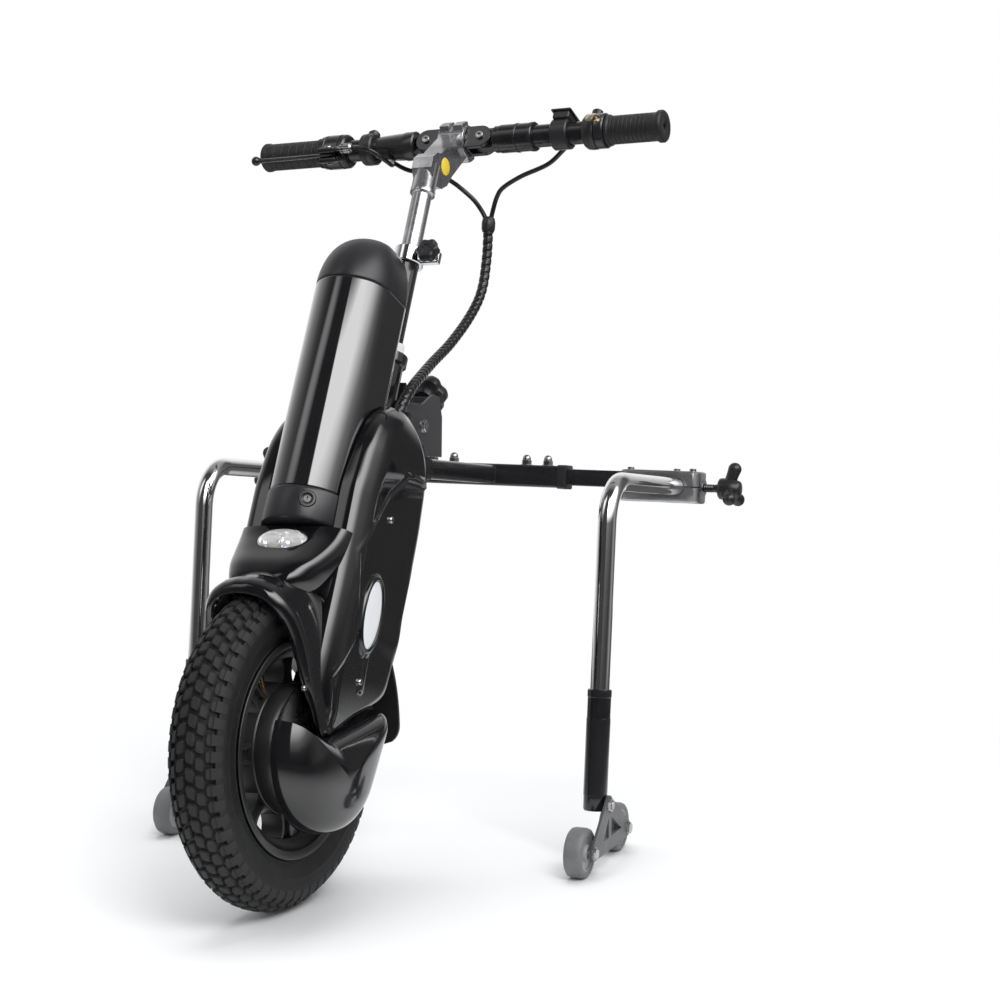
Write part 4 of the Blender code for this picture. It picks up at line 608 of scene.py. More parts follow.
def build_cast_wheel():
    seat = 0.1026
    outer = [(seat + 0.0046, 0.0246), (seat + 0.0052, 0.0258), (seat + 0.0046, 0.0266),
             (seat - 0.0012, 0.0262), (seat - 0.0034, 0.0248), (seat - 0.0044, 0.0222),
             (seat - 0.0100, 0.0170), (seat - 0.0145, 0.0140), (seat - 0.0152, 0.0120)]
    inner = [(seat - 0.0006, -0.0215), (seat - 0.0030, -0.0120), (seat - 0.0110, -0.0080)]
    rim = mirrored(outer) + mirrored(inner)
    parts = [lathe(rim, 120, closed=True)]
    drum = [(0, -0.0312), (0.0470, -0.0312), (0.0600, -0.0312), (0.0622, -0.0300), (0.0640, -0.0272),
            (0.0640, -0.0150), (0.0652, -0.0138), (0.0652, 0.0138), (0.0640, 0.0150), (0.0640, 0.0300),
            (0.0612, 0.0340), (0.0588, 0.0352), (0.0560, 0.0354), (0.0545, 0.0340), (0.0530, 0.0340),
            (0.0515, 0.0356), (0.0260, 0.0360), (0.0248, 0.0358), (0, 0.0358)]
    parts.append(lathe(drum, 96))
    for i in range(8):
        place = Matrix.Rotation(2 * pi * (i + 0.5) / 8, 4, "Z")
        # An I-section spoke: a web with a raised flange along both edges
        loops, left, right = [], [], []
        for k in range(7):
            t = k / 6
            r = 0.0620 + (0.0885 - 0.0620) * t
            flare = 0.0034 * (2 * t - 1) ** 2
            half = 0.0072 + flare
            loops.append([(r, -half, -0.0072), (r, half, -0.0072), (r, half, 0.0072), (r, -half, 0.0072)])
            for side, rows in ((1, right), (-1, left)):
                y0, y1 = side * (half - 0.0026), side * (half + 0.0006)
                rows.append([(r, min(y0, y1), -0.0122), (r, max(y0, y1), -0.0122),
                             (r, max(y0, y1), 0.0122), (r, min(y0, y1), 0.0122)])
        for shape in (loops, left, right):
            parts.append(turned(skin_loops(shape), place))
    for a in turns(6):
        parts.append(turned(lathe([(0, 0.0350), (0.0030, 0.0350), (0.0030, 0.0376), (0.0024, 0.0382),
                                   (0, 0.0382)], 6), offset(0.0400 * cos(a), 0.0400 * sin(a), 0)))
    return piece("wheel_casting", joined(*parts), "rim", WHEEL @ TO_X, "wheel",
                 ("cast_wheel",), "rim", smooth=35, bevel=0.0006)


# Moulded shell, drawn in the fork's own axes

CROWN = TYRE_R + 0.007
BAY_FLOOR = CROWN + 0.0425
SHELL_TOP = CROWN + 0.198
SHELL_HALF = 0.070
SHELL_REAR = 0.042
SHELL_WALL = 0.003
SKIRT_TIP = 0.012
BATTERY_R = 0.042
BATTERY_FRONT = 0.088
BATTERY_BACK = 0.044
BAY_CLEARANCE = 0.0025
HOOD_SIDE = 0.062
HOOD_TOP = TYRE_R + 0.0175

# Height, front reach, rear reach and half width of the shell's main body
SHELL_STATIONS = (
    (SKIRT_TIP, 0.0770, -0.063, SHELL_HALF - 0.0060),
    (SKIRT_TIP + 0.018, 0.0860, -0.035, SHELL_HALF - 0.0050),
    (SKIRT_TIP + 0.046, 0.0940, 0.008, SHELL_HALF - 0.0035),
    (SKIRT_TIP + 0.068, 0.0975, SHELL_REAR - 0.002, SHELL_HALF - 0.0025),
    (SKIRT_TIP + 0.098, 0.0995, SHELL_REAR, SHELL_HALF - 0.0015),
    (SKIRT_TIP + 0.138, 0.1005, SHELL_REAR, SHELL_HALF - 0.0005),
    (SHELL_TOP - 0.155, 0.1020, SHELL_REAR, SHELL_HALF),
    (SHELL_TOP - 0.104, 0.1030, SHELL_REAR - 0.001, SHELL_HALF),
    (SHELL_TOP - 0.055, 0.0960, SHELL_REAR - 0.006, SHELL_HALF - 0.0005),
    (SHELL_TOP - 0.026, 0.0850, SHELL_REAR - 0.022, SHELL_HALF - 0.0025),
    (SHELL_TOP - 0.009, 0.0700, 0.000, SHELL_HALF - 0.0060),
    (SHELL_TOP - 0.002, 0.0610, -0.013, SHELL_HALF - 0.0100),
    (SHELL_TOP, 0.0560, -0.020, SHELL_HALF - 0.0130),
)

# The front edge of the recessed side panel: height and place along Y
PANEL_EDGE = ((0.000, -0.0700), (0.035, -0.0700), (0.0663, -0.0805), (0.0806, -0.0741), (0.1103, -0.0594),
              (0.1277, -0.0560), (0.1500, -0.0720), (0.1931, -0.0837), (0.2212, -0.0718), (0.2488, -0.0593),
              (0.2655, -0.0507), (0.2819, -0.0351), (0.2977, -0.0187), (0.3060, 0.0100), (0.3100, 0.0600),
              (0.4000, 0.0700))
BADGE_AT = (-0.0375, 0.1440)
BADGE_SIZE = (0.0170, 0.0345)
BADGE_TILT = radians(4)


def between(table, value):
    """Straight-line interpolation in a table of (key, number, ...) rows."""
    if value <= table[0][0]:
        return table[0][1:]
    for low, high in zip(table, table[1:]):
        if value <= high[0]:
            t = (value - low[0]) / (high[0] - low[0])
            return tuple(a + (b - a) * t for a, b in zip(low[1:], high[1:]))
    return table[-1][1:]


def ease(value):
    value = min(1.0, max(0.0, value))
    return value * value * (3 - 2 * value)


def smoothed(rows, rounds):
    """Average each row with its neighbours; the first and last stay."""
    for _ in range(rounds):
        rows = [rows[0]] + [tuple((a + 2 * b + c) / 4 for a, b, c in zip(*trio))
                            for trio in zip(rows, rows[1:], rows[2:])] + [rows[-1]]
    return rows


def filleted(corners, parts, steps=6):
    """A closed outline from (x, y, radius) corners; `parts` splits each straight that follows a corner."""
    out = []
    count = len(corners)
    ends = []
    for i, (x, y, radius) in enumerate(corners):
        here = Vector((x, y))
        before = (Vector(corners[i - 1][:2]) - here).normalized()
        after = (Vector(corners[(i + 1) % count][:2]) - here).normalized()
        half = before.angle(after) / 2
        reach = radius / max(1e-6, abs(sin(half) / cos(half)))
        centre = here + (before + after).normalized() * (radius / sin(half))
        first, last = here + before * reach - centre, here + after * reach - centre
        a0, a1 = atan2(first.y, first.x), atan2(last.y, last.x)
        turn = (a1 - a0 + pi) % (2 * pi) - pi
        ends.append([(centre.x + radius * cos(a0 + turn * k / steps),
                      centre.y + radius * sin(a0 + turn * k / steps)) for k in range(steps + 1)])
    for i, points in enumerate(ends):
        out += points
        (x0, y0), (x1, y1) = points[-1], ends[(i + 1) % count][0]
        out += [(x0 + (x1 - x0) * k / parts[i], y0 + (y1 - y0) * k / parts[i]) for k in range(1, parts[i])]
    return out


def side_relief(y, z):
    """How far the side panel stands out (+) or in (-) at a place on it."""
    edge = between(PANEL_EDGE, z)[0]
    slope = (between(PANEL_EDGE, z + 0.002)[0] - between(PANEL_EDGE, z - 0.002)[0]) / 0.004
    away = (y - edge) / sqrt(1 + slope * slope)
    near_badge = ease(1 - abs(z - 0.140) / 0.030)
    depth = 0.0019 * (1 - 0.85 * near_badge)
    height = -depth * ease((away + 0.0005) / 0.0035) + 0.35 * depth * ease(1 - abs(away + 0.0020) / 0.0030)
    # A ring round the badge and the bar below it
    dy, dz = y - BADGE_AT[0], z - BADGE_AT[1]
    dy, dz = dy * cos(BADGE_TILT) + dz * sin(BADGE_TILT), dz * cos(BADGE_TILT) - dy * sin(BADGE_TILT)
    ring = hypot(dy / (BADGE_SIZE[0] + 0.0035), dz / (BADGE_SIZE[1] + 0.0035))
    height += 0.0016 * ease(1 - abs(ring - 1.03) / 0.13)
    middle = -0.0235 + (z - 0.07) * -0.10
    bar = ease((0.0055 - abs(y - middle)) / 0.0020) * ease((z - 0.066) / 0.003) * ease((0.114 - z) / 0.010)
    return height + 0.0014 * bar


def body_loft(inset=0.0, fine=True, open_rear=0.0, drop=0.0, lift=0.0):
    spacing = 0.0018 if fine else 0.008
    levels = int((SHELL_TOP - SKIRT_TIP) / spacing)
    heights = [SKIRT_TIP + (SHELL_TOP - SKIRT_TIP) * i / levels for i in range(levels + 1)]
    rows = [(z, *between(SHELL_STATIONS, z)) for z in heights]
    rows = smoothed(rows, int(0.35 / spacing * 0.18))
    loops = []
    for k, (z, front, rear, wide) in enumerate(rows):
        depth = front + rear
        soft = min(0.014, 0.30 * depth)
        taper = 0.006 * min(1.0, depth / 0.14)
        back = open_rear or rear - inset
        r = max(0.002, soft - inset)
        ahead = -front + min(0.022, 0.35 * depth)
        narrow = wide - inset - taper * (back - ahead) / (rear - ahead)
        rear_corner = max(0.0015, min(0.016, 0.20 * depth) - inset)
        corners = [(narrow, back, rear_corner), (-narrow, back, rear_corner),
                   (-wide + inset, -front + min(0.022, 0.35 * depth), 2.5 * r),
                   (-wide + 0.010 + inset, -front + inset, r),
                   (wide - 0.010 - inset, -front + inset, r),
                   (wide - inset, -front + min(0.022, 0.35 * depth), 2.5 * r)]
        side = 70 if fine else 4
        loop = filleted(corners, (16, side, 2, 16, 2, side), 8 if fine else 3)
        level = z - (drop if k == 0 else 0) - (lift if k == len(rows) - 1 else 0)
        if fine:
            fade = ease((z - SKIRT_TIP) / 0.01) * ease((SHELL_TOP - 0.012 - z) / 0.012)
            edge = wide - taper - 0.001
            loop = [(x + (side_relief(y, z) * fade * (1 if x > 0 else -1) if abs(x) > edge - 0.004 else 0), y)
                    for x, y in loop]
        loops.append([(x, y, level) for x, y in loop])
    return skin_loops(loops)


# Half of the hood's section: side, distance from the axle, angle of its front lip in degrees
HOOD_SECTION = ((HOOD_SIDE, 0.024, 20), (HOOD_SIDE - 0.0020, 0.050, 38), (HOOD_SIDE - 0.0045, 0.085, 44),
                (HOOD_SIDE - 0.0080, 0.115, 47), (HOOD_SIDE - 0.0125, HOOD_TOP - 0.0385, 47),
                (HOOD_SIDE - 0.0190, HOOD_TOP - 0.0215, 46), (HOOD_SIDE - 0.0280, HOOD_TOP - 0.0100, 46),
                (HOOD_SIDE - 0.0400, HOOD_TOP - 0.0030, 46), (0.0080, HOOD_TOP, 46), (0.0, HOOD_TOP, 46))


def hood_curve(steps=40):
    """The hood's half section as a smooth curve from its low side to its crown."""
    rows = []
    for i in range(steps + 1):
        t = i / steps * (len(HOOD_SECTION) - 1)
        k = min(int(t), len(HOOD_SECTION) - 2)
        rows.append(tuple(a + (b - a) * (t - k) for a, b in zip(HOOD_SECTION[k], HOOD_SECTION[k + 1])))
    return smoothed(rows, 5)


def hood_loft(steps=30):
    half = hood_curve()
    section = half + [(-x, r, lip) for x, r, lip in half[::-1][1:]]
    loops = []
    for i in range(steps + 1):
        share = i / steps
        loop = []
        for x, r, lip in section:
            end = 72 + 22 * min(1.0, r / 0.115)
            a = radians(lip + (end - lip) * share)
            # The surface dips a little behind the lip, as a moulded flange does
            dip = 0.0016 * ease(share / 0.10) * ease((r - 0.03) / 0.05)
            loop.append((x * (1 - dip / 0.06), -FORK_OFFSET - (r - dip) * cos(a), (r - dip) * sin(a)))
        loops.append(loop)
    return skin_loops(loops)


def frames(path):
    """Each point of a path with two directions across it that don't twist along the way."""
    normal = None
    for i, point in enumerate(path):
        ahead = (path[min(i + 1, len(path) - 1)] - path[max(i - 1, 0)]).normalized()
        if normal is None:
            normal = ahead.orthogonal().normalized()
        normal = (normal - ahead * normal.dot(ahead)).normalized()
        yield point, normal, ahead.cross(normal)


def tube_along(points, radius, sides):
    """A round tube along a path of points."""
    return skin_loops([[point + (normal * cos(a) + across * sin(a)) * radius for a in turns(sides)]
                       for point, normal, across in frames(points)])


# The rolled flange round the hood's mouth: how far out from the hood's surface, degrees behind its lip
LIP_ROLL = ((0.0006, 3.0), (0.0008, 1.0), (0.0002, -0.8), (-0.0022, -2.0), (-0.0054, -2.7), (-0.0086, -2.8),
            (-0.0106, -2.2), (-0.0108, -1.2), (-0.0086, -0.4), (-0.0050, 0.4), (-0.0032, 3.0))


def hood_lip():
    half = hood_curve(60)
    section = half + [(-x, r, lip) for x, r, lip in half[::-1][1:]]
    loops = []
    for i, (x, r, lip) in enumerate(section):
        x0, r0, _ = section[max(i - 1, 0)]
        x1, r1, _ = section[min(i + 1, len(section) - 1)]
        along = Vector((x1 - x0, r1 - r0)).normalized()
        out = Vector((along.y, -along.x))
        if out.dot(Vector((x, r - 0.08))) < 0:
            out = -out
        # The roll dies out towards the low ends of the mouth
        full = ease((r - 0.03) / 0.06)
        loop = []
        for grow, back in LIP_ROLL:
            grow *= 0.35 + 0.65 * full
            a = radians(lip + back * (0.4 + 0.6 * full))
            px, pr = x + out.x * grow, r + out.y * grow
            loop.append((px, -FORK_OFFSET - pr * cos(a), pr * sin(a)))
        loops.append(loop)
    return skin_loops(loops)


def wheel_arch():
    half = [(r - SHELL_WALL, x - SHELL_WALL) for x, r, _ in hood_curve(24)[:-1]]
    profile = [(0, half[0][1])] + half + [(r, -x) for r, x in half[::-1]] + [(0, -half[0][1])]
    return turned(lathe(profile[::-1], 96), offset(0, -FORK_OFFSET, 0) @ TO_X)


# The chin below the battery: height under the bay's floor, how far ahead of the steering axis, half width
CHIN = ((0.0740, 0.1480, 0.0400), (0.0685, 0.1510, 0.0450), (0.0485, 0.1435, 0.0530),
        (0.0305, 0.1300, 0.0585), (0.0125, 0.1190, 0.0615), (0.0006, 0.1145, 0.0625))
CHIN_ROOT = 0.085


def chin_loft(levels=30):
    rows = [(BAY_FLOOR - drop, front, half) for drop, front, half in CHIN]
    heights = [rows[0][0] + (rows[-1][0] - rows[0][0]) * i / levels for i in range(levels + 1)]
    loops = []
    for z, front, half in smoothed([(z, *between(rows, z)) for z in heights], 6):
        loop = []
        for i in range(61):
            t = pi * (i / 60 - sin(4 * pi * i / 60) * 0.045)
            loop.append((half * (1 if cos(t) >= 0 else -1) * abs(cos(t)) ** 0.42,
                         -CHIN_ROOT - (front - CHIN_ROOT) * sin(t) ** 0.50, z))
        loops.append(loop)
    return skin_loops(loops)


def battery_outline(grow=0.0, steps=40):
    radius = BATTERY_R + grow
    front = arc((0, -BATTERY_FRONT), radius, pi, 2 * pi, steps)
    corner = 0.012
    back_y = -BATTERY_BACK + grow
    back = arc((radius - corner, back_y - corner), corner, 0, pi / 2, 6)
    back += arc((-radius + corner, back_y - corner), corner, pi / 2, pi, 6)
    return front + back


def prism(outline, low, high):
    return skin_loops([[(x, y, z) for x, y in outline] for z in (low, high)])


LIGHT_AT = Vector((0, -0.1200, BAY_FLOOR - 0.0205))
LIGHT_TILT = Matrix.Rotation(radians(-5), 4, "X")


def lens_loft(grow=0.0, back=0.009, bulge=0.011):
    loops = []
    wide, tall = 0.0290 + grow, 0.0160 + grow
    rows = [(1.0, back)] + [(cos(a) ** 0.75, -bulge * sin(a)) for a in (radians(6 * k) for k in range(0, 15))]
    for share, y in rows:
        loops.append([(share * wide * cos(a), y, share * tall * sin(a)) for a in turns(64)])
    return skin_loops(loops)


def side_x(y, z):
    """The shell's side surface at a place on it, without its relief."""
    front, rear, wide = between(SHELL_STATIONS, z)
    depth = front + rear
    corner = -front + min(0.022, 0.35 * depth)
    share = min(1.0, max(0.0, (y - corner) / (rear - corner)))
    return wide - 0.006 * min(1.0, depth / 0.14) * share


def badge_loop(side, wide, tall, height):
    """An oval round the badge's centre, at a height over the side panel."""
    loop = []
    for a in turns(64):
        u, v = wide * cos(a), tall * sin(a)
        y = BADGE_AT[0] + u * cos(BADGE_TILT) - v * sin(BADGE_TILT)
        z = BADGE_AT[1] + v * cos(BADGE_TILT) + u * sin(BADGE_TILT)
        loop.append((side * (side_x(y, z) + height), y, z))
    return loop


def build_shell():
    cup = prism(battery_outline(BAY_CLEARANCE + SHELL_WALL), BAY_FLOOR - SHELL_WALL, SHELL_TOP + 0.02)
    hollow = carved(body_loft(SHELL_WALL + 0.0015, False, 0.09, 0.02, 0.003), cup)
    half = SHELL_HALF * 0.80
    back = box((-half, -BATTERY_BACK - 0.006, SHELL_TOP - 0.064), (half, 0.07, SHELL_TOP + 0.03))
    lug = turned(rod(0.017, -0.09, 0.09, 48), offset(0, SHELL_REAR + 0.004, SHELL_TOP - 0.046) @ TO_X)

    def bay():
        return prism(battery_outline(BAY_CLEARANCE), BAY_FLOOR, SHELL_TOP + 0.05)

    def seat():
        return turned(lens_loft(0.0004, 0.0094), Matrix.Translation(LIGHT_AT) @ LIGHT_TILT)

    for name, bm, replaces in (
            ("shell_body", carved(body_loft(), hollow, bay(), back, lug, wheel_arch()), ("shell",)),
            ("shell_hood", carved(hood_loft(), wheel_arch(), bay(), seat()), ()),
            ("shell_chin", carved(chin_loft(), wheel_arch(), bay(), seat()), ())):
        piece(name, bm, "gloss_black", FORK, "front_fork", replaces, "gloss_black", smooth=38)
    piece("shell_lip", hood_lip(), "gloss_black", FORK, "front_fork", (), "gloss_black")

    wide, tall = BADGE_SIZE
    for side, word in SIDES:
        # The badge is a bare enamelled plate in its raised bezel
        plate = [badge_loop(side, share * wide, share * tall, height) for share, height in
                 ((1.0, -0.0020), (1.0, 0.0003), (0.95, 0.0009), (0.80, 0.0012), (0.4, 0.0014),
                  (0.02, 0.0014))]
        piece(f"badge_{word}", skin_loops(plate), "enamel", FORK, "front_fork")
        bezel = [badge_loop(side, wide + (share - 1) * 0.026, tall + (share - 1) * 0.026, height)
                 for share, height in ((1.01, -0.0020), (1.01, 0.0012), (1.04, 0.0019), (1.09, 0.0022),
                                       (1.15, 0.0019), (1.20, 0.0008), (1.24, -0.0020))]
        piece(f"badge_bezel_{word}", skin_loops(bezel, ring=True), "gloss_black", FORK, "front_fork")
        outward = Matrix.Rotation(side * pi / 2, 4, "Y")
        heads = [turned(button_screw(0.0036, 0.0022), offset(side * (side_x(y, z) - 0.0012), y, z) @ outward)
                 for y, z in ((-0.038, 0.2457), (-0.030, 0.0767))]
        heads.append(turned(button_screw(0.0032, 0.0024), offset(side * 0.0590, -0.1200, 0.0406) @ outward))
        piece(f"shell_screws_{word}", joined(*heads), "steel", FORK, "front_fork", smooth=30)


# Battery in its bay

BATTERY_LOW = BAY_FLOOR + 0.0027
BASE_TOP = BATTERY_LOW + 0.0345
BODY_TOP = BATTERY_LOW + 0.2678
LID_RISE = 0.066
LOCK_ANGLE = radians(29)


def battery_section(share, height, shift=0.0):
    centre = -(BATTERY_FRONT + BATTERY_BACK) / 2 + shift
    return [(x * share, centre + (y - centre) * share, height) for x, y in battery_outline()]


def build_battery():
    body = [battery_section(share, z) for share, z in
            ((0.985, BASE_TOP + 0.0003), (0.997, BASE_TOP + 0.0009), (1.0, BASE_TOP + 0.0020),
             (1.0, BODY_TOP - 0.0020), (0.997, BODY_TOP - 0.0009), (0.985, BODY_TOP - 0.0003))]
    piece("battery_case", skin_loops(body), "battery_black", FORK, "battery", ("battery_body",),
          "battery_black", smooth=50)

    step = 1 + 0.0012 / BATTERY_R
    base = [battery_section(share, z) for share, z in
            ((step * 0.955, BATTERY_LOW), (step * 0.985, BATTERY_LOW + 0.0010), (step, BATTERY_LOW + 0.0034),
             (step, BASE_TOP - 0.0034), (step - 0.004, BASE_TOP - 0.0014), (step - 0.014, BASE_TOP - 0.0003),
             (step - 0.024, BASE_TOP))]
    turn = offset(0, -BATTERY_FRONT, BATTERY_LOW + 0.021) @ Matrix.Rotation(LOCK_ANGLE, 4, "Z") @ TO_FRONT
    surface = BATTERY_R + 0.0012
    seat = turned(rod(0.0089, surface - 0.008, surface + 0.01, 48), turn)
    base = carved(skin_loops(base), seat)
    piece("battery_foot", base, "dark_plastic", FORK, "battery", ("battery_base",), "dark_plastic",
          smooth=40)

    dome = [battery_section(0.985, BODY_TOP), battery_section(0.998, BODY_TOP + 0.0008)]
    for i in range(1, 40):
        a = (pi / 2) * i / 42
        dome.append(battery_section(cos(a) ** 0.72, BODY_TOP + LID_RISE * sin(a), 0.008 * sin(a)))
    piece("battery_lid", skin_loops(dome), "dark_plastic", FORK, "battery", ("battery_cap",),
          "dark_plastic", smooth=60)

    # Key lock: a dark bezel round a small dark barrel with its slot, and a steel rim round the barrel
    bezel = lathe([(0.0040, surface - 0.0070), (0.0085, surface - 0.0070), (0.0085, surface + 0.0008),
                   (0.0080, surface + 0.0016), (0.0062, surface + 0.0018), (0.0048, surface + 0.0008),
                   (0.0040, surface + 0.0006)], 48, closed=True)
    piece("key_bezel", bezel, "black_plastic", FORK @ turn, "battery_lock", (), None, smooth=30)
    barrel = lathe([(0, surface - 0.0070), (0.0039, surface - 0.0070), (0.0039, surface + 0.0002),
                    (0.0035, surface + 0.0006), (0, surface + 0.0006)], 40)
    slot = box((-0.0006, -0.0026, surface - 0.003), (0.0006, 0.0026, surface + 0.004))
    piece("key_lock", carved(barrel, slot), "black_paint", FORK @ turn, "battery_lock", ("battery_lock",),
          "steel", smooth=30)
    rim = lathe([(0.0036, surface - 0.001), (0.0041, surface - 0.001), (0.0041, surface + 0.0005),
                 (0.0036, surface + 0.0009)], 40, closed=True)
    piece("key_rim", rim, "steel", FORK @ turn, "battery_lock", smooth=30)


def build_headlight():
    place = FORK @ Matrix.Translation(LIGHT_AT) @ LIGHT_TILT
    wide, tall = 0.0290, 0.0140

    def oval(share, y, shrink=0.0):
        return [(share * (wide - shrink) * cos(a), y, share * (tall - shrink) * sin(a)) for a in turns(64)]

    outer = [oval(1.0, 0.0030), oval(1.0, 0.0)]
    for k in range(1, 15):
        a = radians(6 * k)
        outer.append(oval(cos(a), -0.0110 * sin(a)))
    inner = [oval(cos(radians(6 * k)), -0.0092 * sin(radians(6 * k)), 0.0016) for k in range(14, 0, -1)]
    inner += [oval(1.0, 0.0, 0.0016), oval(1.0, 0.0030, 0.0016)]
    shell = skin_loops(outer + inner, caps=False)
    rows = list(shell.verts)
    count = 64
    shell.faces.new([rows[15 * count + i] for i in range(count)])
    shell.faces.new([rows[16 * count + i] for i in range(count)])
    first, last = rows[:count], rows[-count:]
    for i in range(count):
        j = (i + 1) % count
        shell.faces.new((first[i], first[j], last[j], last[i]))
    piece("lamp_glass", shell, "lens_glass", place, "front_fork", ("headlight_lens",), "clear_lens",
          smooth=50)

    # A bright tray that fills the oval, two bowls side by side and a small pale diode in each
    rim = [oval(0.98, 0.0088), oval(0.98, -0.0010), oval(0.93, -0.0030), oval(0.90, -0.0024),
           oval(0.86, 0.0030), oval(0.30, 0.0030), oval(0.02, 0.0030)]
    parts = [skin_loops(rim)]
    leds = []
    for x in (-0.0128, 0.0128):
        bowl = [(0.0112, -0.0036), (0.0118, -0.0040), (0.0122, -0.0036), (0.0122, 0.0036), (0.0040, 0.0036),
                (0.0046, 0.0028), (0.0074, 0.0012), (0.0096, -0.0012)]
        parts.append(turned(lathe(bowl, 40, closed=True), offset(x, 0, 0) @ TO_BACK))
        leds.append(turned(lathe([(0, -0.0030), (0.0040, -0.0030), (0.0048, -0.0012), (0.0040, 0.0008),
                                  (0.0020, 0.0024), (0, 0.0028)], 28), offset(x, 0, 0) @ TO_FRONT))
    piece("lamp_reflector", joined(*parts), "chrome", place, "front_fork",
          ("headlight_reflector",), "chrome", smooth=40)
    piece("lamp_diodes", joined(*leds), "led", place, "front_fork", smooth=50)


# Hub cover beside the wheel

COVER_R = 0.081
COVER_SIDE = 0.0448
COVER_BULGE = 0.0400
COVER_TAIL = (0.082, 0.058)
COVER_RISE = ((0.00, 1.0, 0.0), (0.10, 0.999, 0.10), (0.22, 0.992, 0.24), (0.35, 0.965, 0.45),
              (0.50, 0.89, 0.67), (0.64, 0.76, 0.84), (0.78, 0.54, 0.95), (0.90, 0.26, 1.0),
              (1.0, 0.02, 1.005))


def cover_outline():
    r, tip = COVER_R, 0.009
    tangent = atan2(COVER_TAIL[1], COVER_TAIL[0]) - acos((r - tip) / hypot(*COVER_TAIL))
    shape = arc((0, 0), r, radians(177), 2 * pi + tangent, 90)
    shape += [(shape[-1][0] + (COVER_TAIL[0] + tip * cos(tangent) - shape[-1][0]) * k / 12,
               shape[-1][1] + (COVER_TAIL[1] + tip * sin(tangent) - shape[-1][1]) * k / 12)
              for k in range(1, 12)]
    shape += arc(COVER_TAIL, tip, tangent, radians(120), 8)
    back = [(0.0, 0.0175), (-0.021, 0.0040), shape[0]]
    for point in back:
        last = shape[-1]
        shape += [(last[0] + (point[0] - last[0]) * k / 12, last[1] + (point[1] - last[1]) * k / 12)
                  for k in range(1, 13)]
    return [Vector(p) for p in shape[:-1]]


def build_cover():
    focus = Vector((0.008, -0.026))
    table = smoothed([(k / 40, *between(COVER_RISE, k / 40)) for k in range(41)], 6)
    shape = cover_outline()
    for _ in range(2):
        inner = [(a + b * 2 + c) / 4 for a, b, c in zip(shape, shape[1:], shape[2:])]
        shape = [shape[0]] + inner + [shape[-1]]
    loops = [[(COVER_SIDE - 0.0005, -FORK_OFFSET + p.x, p.y) for p in shape]]
    for _, share, rise in table:
        loops.append([(COVER_SIDE + rise * COVER_BULGE, -FORK_OFFSET + (focus + (p - focus) * share).x,
                       (focus + (p - focus) * share).y) for p in shape])
    piece("hub_dome", skin_loops(loops), "satin_black", FORK, "front_fork", ("hub_cover",),
          "gloss_black", smooth=50)


# Stem and handlebar, drawn in the fork's axes

# Between parts that fit round or seat on each other, as in the CAD
GAP = 0.0003
COLUMN_R = 0.0127
COLUMN_TOP = CROWN + 0.408
QUILL_R = 0.0109
SLEEVE_R = 0.0140
SLEEVE_LOW = COLUMN_TOP + 0.072
SLEEVE_TOP = SLEEVE_LOW + 0.044
BAR_UP = SLEEVE_TOP + 0.0536
BAR_BACK = 0.050
BAR_R = 0.0127
BAR_HALF = 0.254
CLAMP_R = 0.0185
SLEEVE_END = BAR_HALF - 0.155
CLAMP_HALF = 0.0160
KNUCKLE_REACH = 0.0155
PIVOT_X = CLAMP_HALF + GAP + 0.0019 + KNUCKLE_REACH + GAP
KNUCKLE_R = 0.0134
KNUCKLE_HALF = 0.0112
TONGUE_HALF = 0.0048
BRAKE_GRIP = 0.080
PERCH_LENGTH = 0.034
THROTTLE_GRIP = 0.067
THROTTLE_LENGTH = 0.026
BAR = FORK @ offset(0, BAR_BACK, BAR_UP)


def side_prism(outline, low, high):
    return skin_loops([[(x, y, z) for y, z in outline] for x in (low, high)])


def front_prism(outline, low, high):
    return skin_loops([[(x, y, z) for x, z in outline] for y in (low, high)])


def spun(profile, side=1, steps=48):
    """Turn a closed profile of (place along the bar, radius) about the bar's line."""
    return turned(lathe([(r, x) for x, r in profile], steps, closed=True),
                  Matrix.Scale(side, 4, (1, 0, 0)) @ TO_X)


def bolt_head(radius, height, steps=6):
    """A hexagon head with a chamfered top and a flat washer under it."""
    head = lathe([(0, 0), (radius, 0), (radius, height * 0.78), (radius * 0.86, height), (0, height)], steps)
    washer = rod(radius * 1.15, -0.0004, 0.0008, 32)
    return joined(head, washer)


